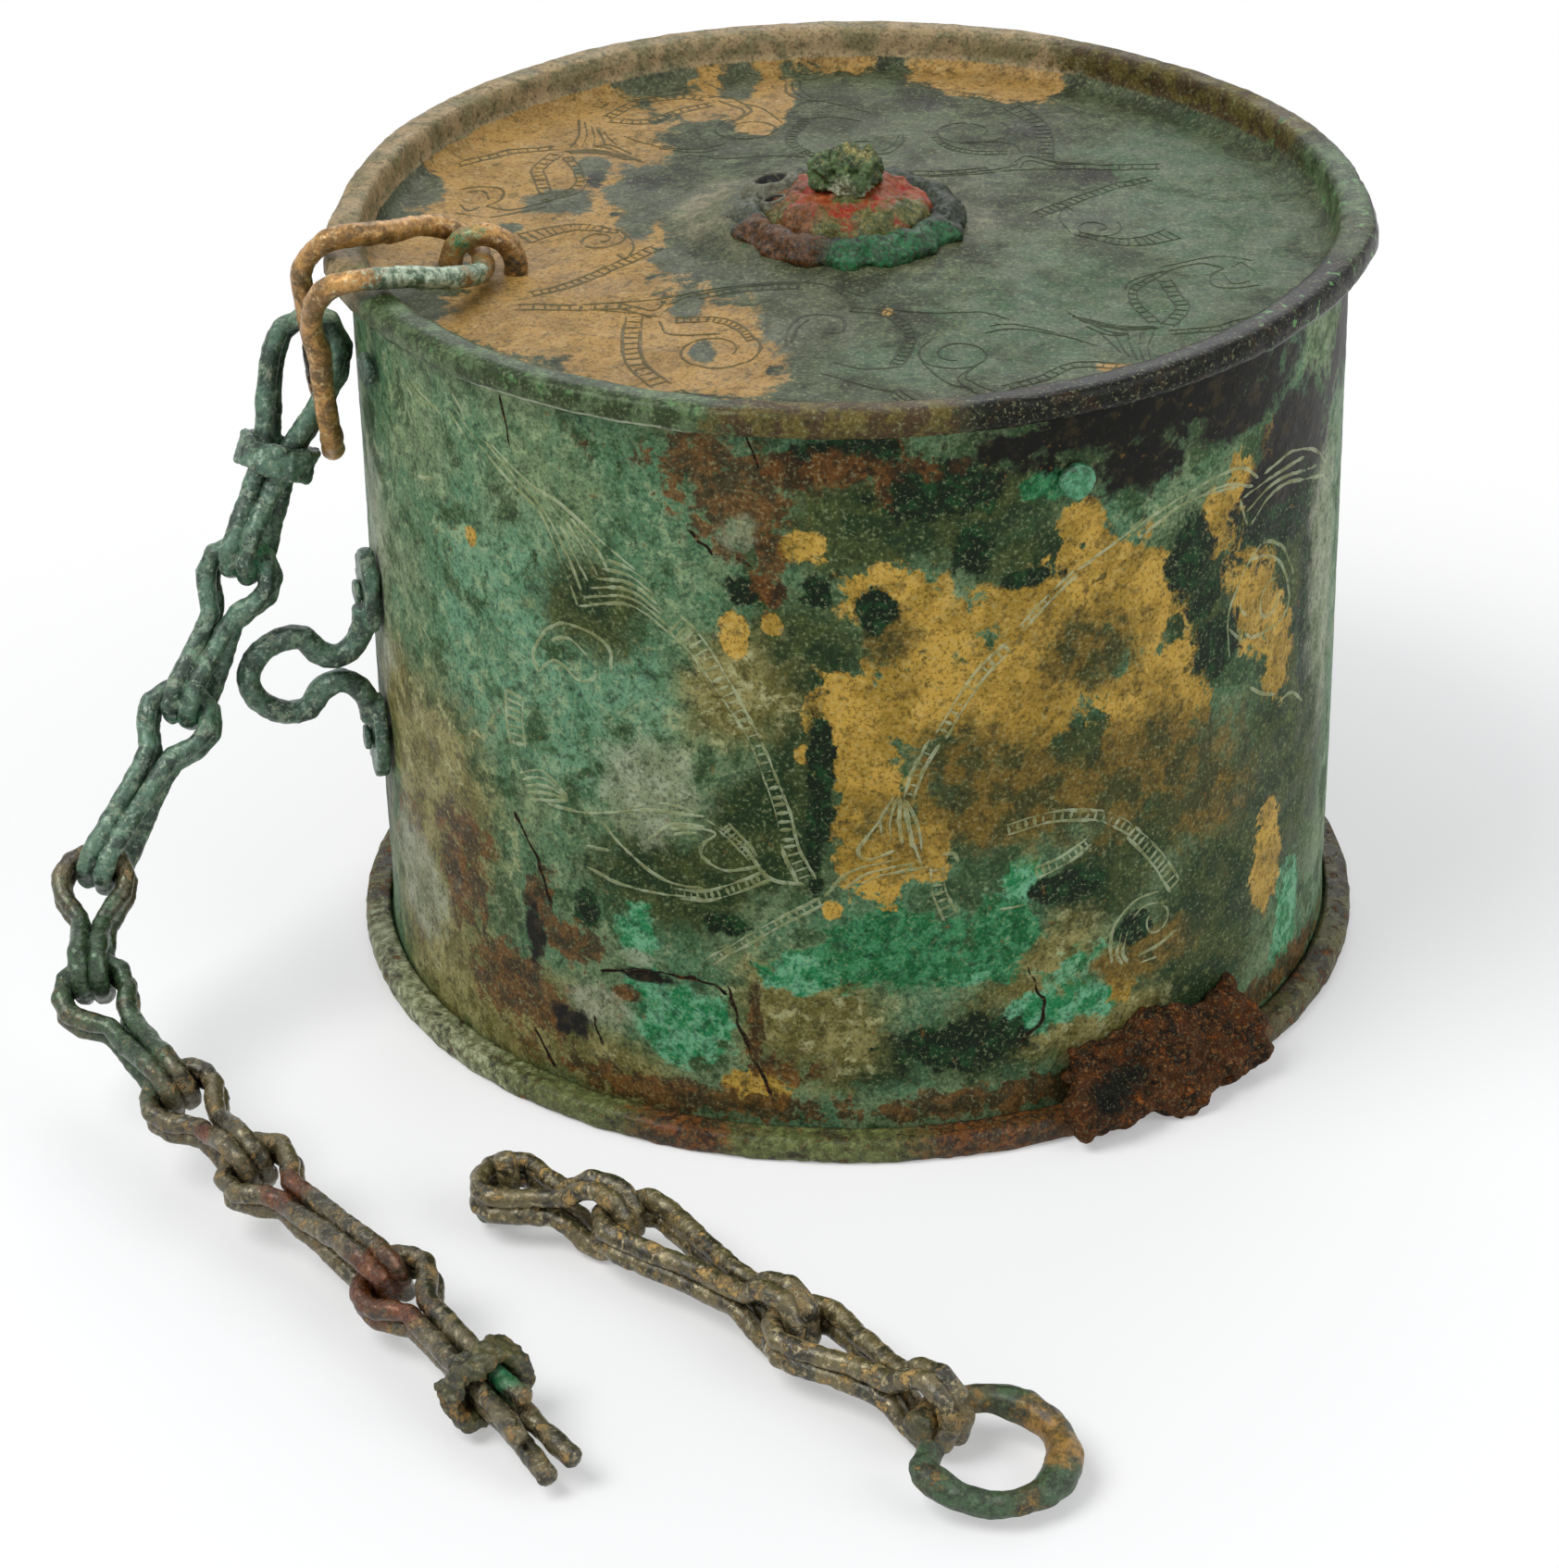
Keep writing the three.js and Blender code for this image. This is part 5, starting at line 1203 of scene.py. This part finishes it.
def make_lid():
    top = lid_top()
    profile = divided(top, 0.42)
    count = len(profile)
    profile += top[-1:] + lid_under()
    verts, faces = turned(profile, ROUND_STEPS)
    fields = lid_fields(verts)
    seen = np.tile(np.arange(len(profile)), ROUND_STEPS) <= count
    radius = radius_of(verts)
    normals = normals_of(verts, faces)
    plate = seen & (radius < RIM_INNER - LID_CORNER + 0.01)
    rim = seen & (radius > RIM_INNER - LID_CORNER)
    wear = 0.10 * fractal(verts, 3.2, 2, 31) + 0.05 * fractal(verts, 0.9, 1, 32)
    wear *= smooth_step(RIM_INNER - LID_CORNER, RIM_INNER, radius)
    verts[:, 2] += np.where(plate, lid_push(verts), 0)
    verts += np.where(rim, wear, 0)[:, None] * normals
    wave = rim_wave(azimuth_of(verts)) * smooth_step(RIM_INNER - LID_CORNER, LID_RIM_RADIUS - 0.6, radius)
    verts[:, :2] *= ((radius + wave) / radius)[:, None]
    new_piece("lid_plate", verts, faces, lid_paint, "box", ("lid",), fields)


def base_outer():
    """The side of the base's rim that is seen, from the floor up to the fold."""
    edge, high = BASE_RIM_RADIUS, BEAD_HEIGHT
    return [(edge - 0.7, 0), (edge - 0.2, 0.2), (edge, 0.7), (edge, high - 0.7), (edge - 0.2, high - 0.2),
            (edge - 0.7, high), (FOLD_RADIUS, high)]


def make_base():
    """The base: a disc with its rim folded up over the wall's lower flange."""
    inside, lip = BASE_RIM_RADIUS - SHEET, BEAD_HEIGHT - SHEET
    outer = base_outer()
    profile = divided(outer, 0.35)
    count = len(profile)
    hidden = [(FOLD_RADIUS, lip), (inside, lip), (inside, SHEET), (BASE_HUB, SHEET), (BASE_HUB, 0)]
    profile += outer[-1:] + hidden
    verts, faces = turned(profile, BASE_STEPS)
    width = len(profile)
    rows = np.tile(np.arange(width), BASE_STEPS)
    wear = 0.14 * fractal(verts, 3.4, 2, 41) + 0.07 * fractal(verts, 0.9, 1, 42)
    verts += np.where((rows > 0) & (rows <= count), wear, 0)[:, None] * normals_of(verts, faces)
    verts[:, 2] = np.maximum(verts[:, 2], 0)
    faces = [f for f in faces if {x % width for x in f} != {width - 1, width - 2}]
    faces.append(tuple(i * width + (width - 1) for i in range(BASE_STEPS)))
    faces.append(tuple(i * width + (width - 2) for i in reversed(range(BASE_STEPS))))
    fields = {key: arcs_field(azimuth_of(verts), *arcs) for key, arcs in BASE_ARCS.items()}
    new_piece("base_plate", verts, faces, base_paint, "box", ("base",), fields)


make_wall()
make_lid()
make_base()
make_wall_lines()
make_lid_lines("lid_engraving", 1, LID_LINE_HALF)
make_lid_lines("lid_engraving_worn", -1, WORN_LINE_HALF)
make_cracks()


# the boss, the rivets and the wires
BODY_OF = {node: body for body, nodes in frame["record"]["behaviour"]["bodies"].items() for node in nodes}
SLOT_OF = {part["node"]: part["material_slot"] for part in frame["record"]["subparts"]}
TURNED_NODES = ("body_wall", "lid", "base")

# Zones on the pieces: balls of x, y, z and radius in millimetres. The seats are where two wires meet.
SEAT_RADIUS = 2.2
SEATS = [tuple(x / MM for x in joint["pos_m"]) + (SEAT_RADIUS,)
         for joint in frame["record"]["behaviour"]["joints"] if joint["type"] == "hinge"]
WIRE_ZONES = {
    "rust": [(-39, -72, 6, 3.2), (-36, -75.5, 6, 2.2), (-47, -60, 7, 2), (-55, -53, 8, 1.2)],
    "emerald": [(-58, -19.5, 31.5, 1.6), (-27, -84, 5.5, 1.8), (-30.5, -55, 2, 1.4)],
    "green": [(-66, -36, 15, 6), (-62, -43, 10, 5)],
    "seat": SEATS}
GREEN_ZONES = {
    "emerald": [(-53, -13.5, 42.5, 1.6), (-49, -9, 50, 1.5), (-58.5, -19, 30, 1.7),
                (18.3, -39.5, 62.2, 2.2)],
    "seat": SEATS}
GOLD_ZONES = {
    "green": [(-37.6, -19.3, 71.5, 2.6), (-35.8, -17.6, 71, 2.6), (-34.2, -16, 70.5, 2.4),
              (-32.8, -12.3, 69.5, 2.2), (-39.5, -21.8, 71.5, 1)],
    "emerald": [(-33.5, -10.1, 71, 2.2)],
    "dark": [(-46, -18, 53, 2.2), (-28.6, -10.1, 68, 2), (-43.2, -11.8, 66, 1.6), (-46, -8, 60, 3.5)],
    "seat": SEATS[:1]}
RING_ZONES = {
    "green": [(17, -94, 3, 3), (9, -97, 3, 3.6), (5, -92, 3, 2.6), (13, -84.5, 3, 2.2)],
    "ochre": [(14, -88, 3, 2.4), (7, -86, 4, 2.4), (16.5, -91, 4, 1.8)],
    "seat": SEATS}
COLLAR_ZONES = {
    "brown": [(-5.5, -8, 69.5, 3.4), (-8, -5, 69.5, 2.4)],
    "emerald": [(4, -9.5, 69.5, 3.6), (8.5, -6, 69.5, 2.2), (0, -10.5, 69.5, 1.8)],
    "grey": [(-9.5, 3, 70, 4.4), (-7, 8, 70, 4)]}
DOME_ZONES = {
    "crust": [(2.5, -6, 69.5, 2.6), (-2, -6.5, 69.3, 2.2), (5.5, -3, 70, 2.2), (-6, -2, 69.6, 1.8),
              (0, -3, 71.8, 1.2)],
    "brown": [(-5.5, 1, 70.5, 2.4), (-4, -4.5, 70, 1.6), (0, 6, 70, 2.5)]}
NUB_ZONES = {"ochre": [(1, 0, 74.8, 1.3)], "pale": [(-0.5, -3, 72.2, 1.2), (1.8, -2.2, 71.8, 0.9)]}
# black balls: painted shade standing for the holes and the slot in the lump
LUMP_ZONES = {
    "black": [(21.5, -42.5, 4.4, 1.5), (23, -41.8, 5.2, 1.4), (24.5, -41, 5.9, 1.3), (31, -37, 6.8, 1.3)]}

CHAIN = dict(voxel=0.2, rounds=50, swell=0.24, lumps=0.16, grain=0.06, lump_size=1.7, thick=0.12)
SMALL_RIVET = dict(voxel=0.15, swell=0.05, lumps=0.1)

FINE_PIECES = {
    "boss_collar": (collar_paint, COLLAR_ZONES,
        dict(voxel=0.2, swell=0.16, lumps=0.5, grain=0.22, lump_size=2)),
    "enamel_dome": (enamel_paint, DOME_ZONES,
        dict(voxel=0.2, swell=0.35, lumps=0.55, grain=0.3, lump_size=2.2)),
    "boss_rivet": (nub_paint, NUB_ZONES, dict(voxel=0.14, swell=0.2, lumps=0.9, grain=0.8, lump_size=1.7)),
    "boss_rove": (green_paint, GREEN_ZONES, dict(voxel=0.2, swell=0.02, lumps=0.05, grain=0.02)),
    "lid_staple": (gold_paint, GOLD_ZONES, dict(voxel=0.18, rounds=10, swell=0.08, lumps=0.1, grain=0.04)),
    "shackle": (gold_paint, GOLD_ZONES,
        dict(voxel=0.2, rounds=50, swell=0.24, lumps=0.2, grain=0.06, lump_size=2.2)),
    "side_loop": (green_paint, GREEN_ZONES, dict(voxel=0.22, rounds=10)),
    "side_loop_rivet_upper": (green_paint, GREEN_ZONES, SMALL_RIVET),
    "side_loop_rivet_lower": (green_paint, GREEN_ZONES, SMALL_RIVET),
    "wall_rivet_left": (green_paint, GREEN_ZONES, SMALL_RIVET),
    "wall_rivet_right": (green_paint, GREEN_ZONES, dict(voxel=0.15, swell=0.08, lumps=0.2)),
    "iron_lump": (rust_paint, LUMP_ZONES,
        dict(voxel=0.26, rounds=8, swell=0.15, lumps=1.5, grain=0.8, lump_size=3.6)),
    "terminal_ring": (ring_paint, RING_ZONES,
        dict(voxel=0.2, rounds=10, swell=0.12, lumps=0.5, grain=0.1, lump_size=3.4)),
    "link_1_tie": (green_paint, GREEN_ZONES, dict(voxel=0.18, rounds=9, lumps=0.35, grain=0.12)),
    "link_8_tie": (ring_paint, WIRE_ZONES,
        dict(voxel=0.18, rounds=9, swell=0.2, lumps=0.8, grain=0.3, lump_size=1.9)),
}


def wire_looks(node):
    """The paint, zones and shape of a plain chain wire."""
    if node in ("link_1", "link_2", "link_3"):
        return green_paint, GREEN_ZONES, CHAIN
    return (loose_paint if node.startswith("loose") else brown_paint), WIRE_ZONES, CHAIN


def make_fine_pieces():
    for i, node in enumerate(sorted(BODY_OF)):
        if node not in TURNED_NODES:
            paint, zones, shape = FINE_PIECES.get(node) or wire_looks(node)
            weathered(node + "_piece", node, BODY_OF[node], paint, SLOT_OF[node], zones, 100 + i, **shape)


# the two pits at the edge of the boss, as radius and height of their outline
PIT_OUTLINE = [(0.02, -0.9), (0.45, -0.85), (0.62, -0.4), (0.7, 0.05), (0.85, 0.22), (1.1, 0.12),
               (1.45, -0.35), (1.7, -0.9)]
PIT_MOUTH = 0.72
PIT_STEPS = 48
PIT_TILT = -12


def make_pit(name, centre, radius, seed):
    """A small crater of crust, its hollow painted black as shade."""
    verts, faces = turned([(r * radius, z) for r, z in PIT_OUTLINE], PIT_STEPS, closed=False)
    # the inner part of the crater is painted black: painted shade
    hollow = np.tile([1.0 if r < PIT_MOUTH else 0.0 for r, _ in PIT_OUTLINE], PIT_STEPS)
    verts = verts * (1.0, 0.8, 1.0)
    verts += normals_of(verts, faces) * (0.16 * fractal(verts + 10 * seed, 0.9, 2, 80 + seed))[:, None]
    turn = np.array(Matrix.Rotation(math.radians(PIT_TILT), 3, "Y"))
    verts = verts @ turn.T + np.asarray(centre)
    faces.append(tuple(i * len(PIT_OUTLINE) for i in reversed(range(PIT_STEPS))))
    new_piece(name, verts, faces, pit_paint, "box", (), {"dark": hollow})


make_pit("boss_pit_large", (-6.8, 4.3, 70.6), 1.8, 1)
make_pit("boss_pit_small", (-6.4, 0.2, 70.4), 1.1, 2)
make_fine_pieces()
add_camera()
add_stage()
add_world()
add_lamp("key", (-0.55, -0.35, 0.95), (0, 0, 0.03), 0.7, 7.6)
add_lamp("fill", (0.9, -0.5, 0.6), (0, 0, 0.03), 0.9, 4.0)
add_lamp("back", (0.1, 0.9, 0.8), (0, 0, 0.05), 0.8, 3.4)
bpy.context.scene.view_settings.view_transform = "Standard"
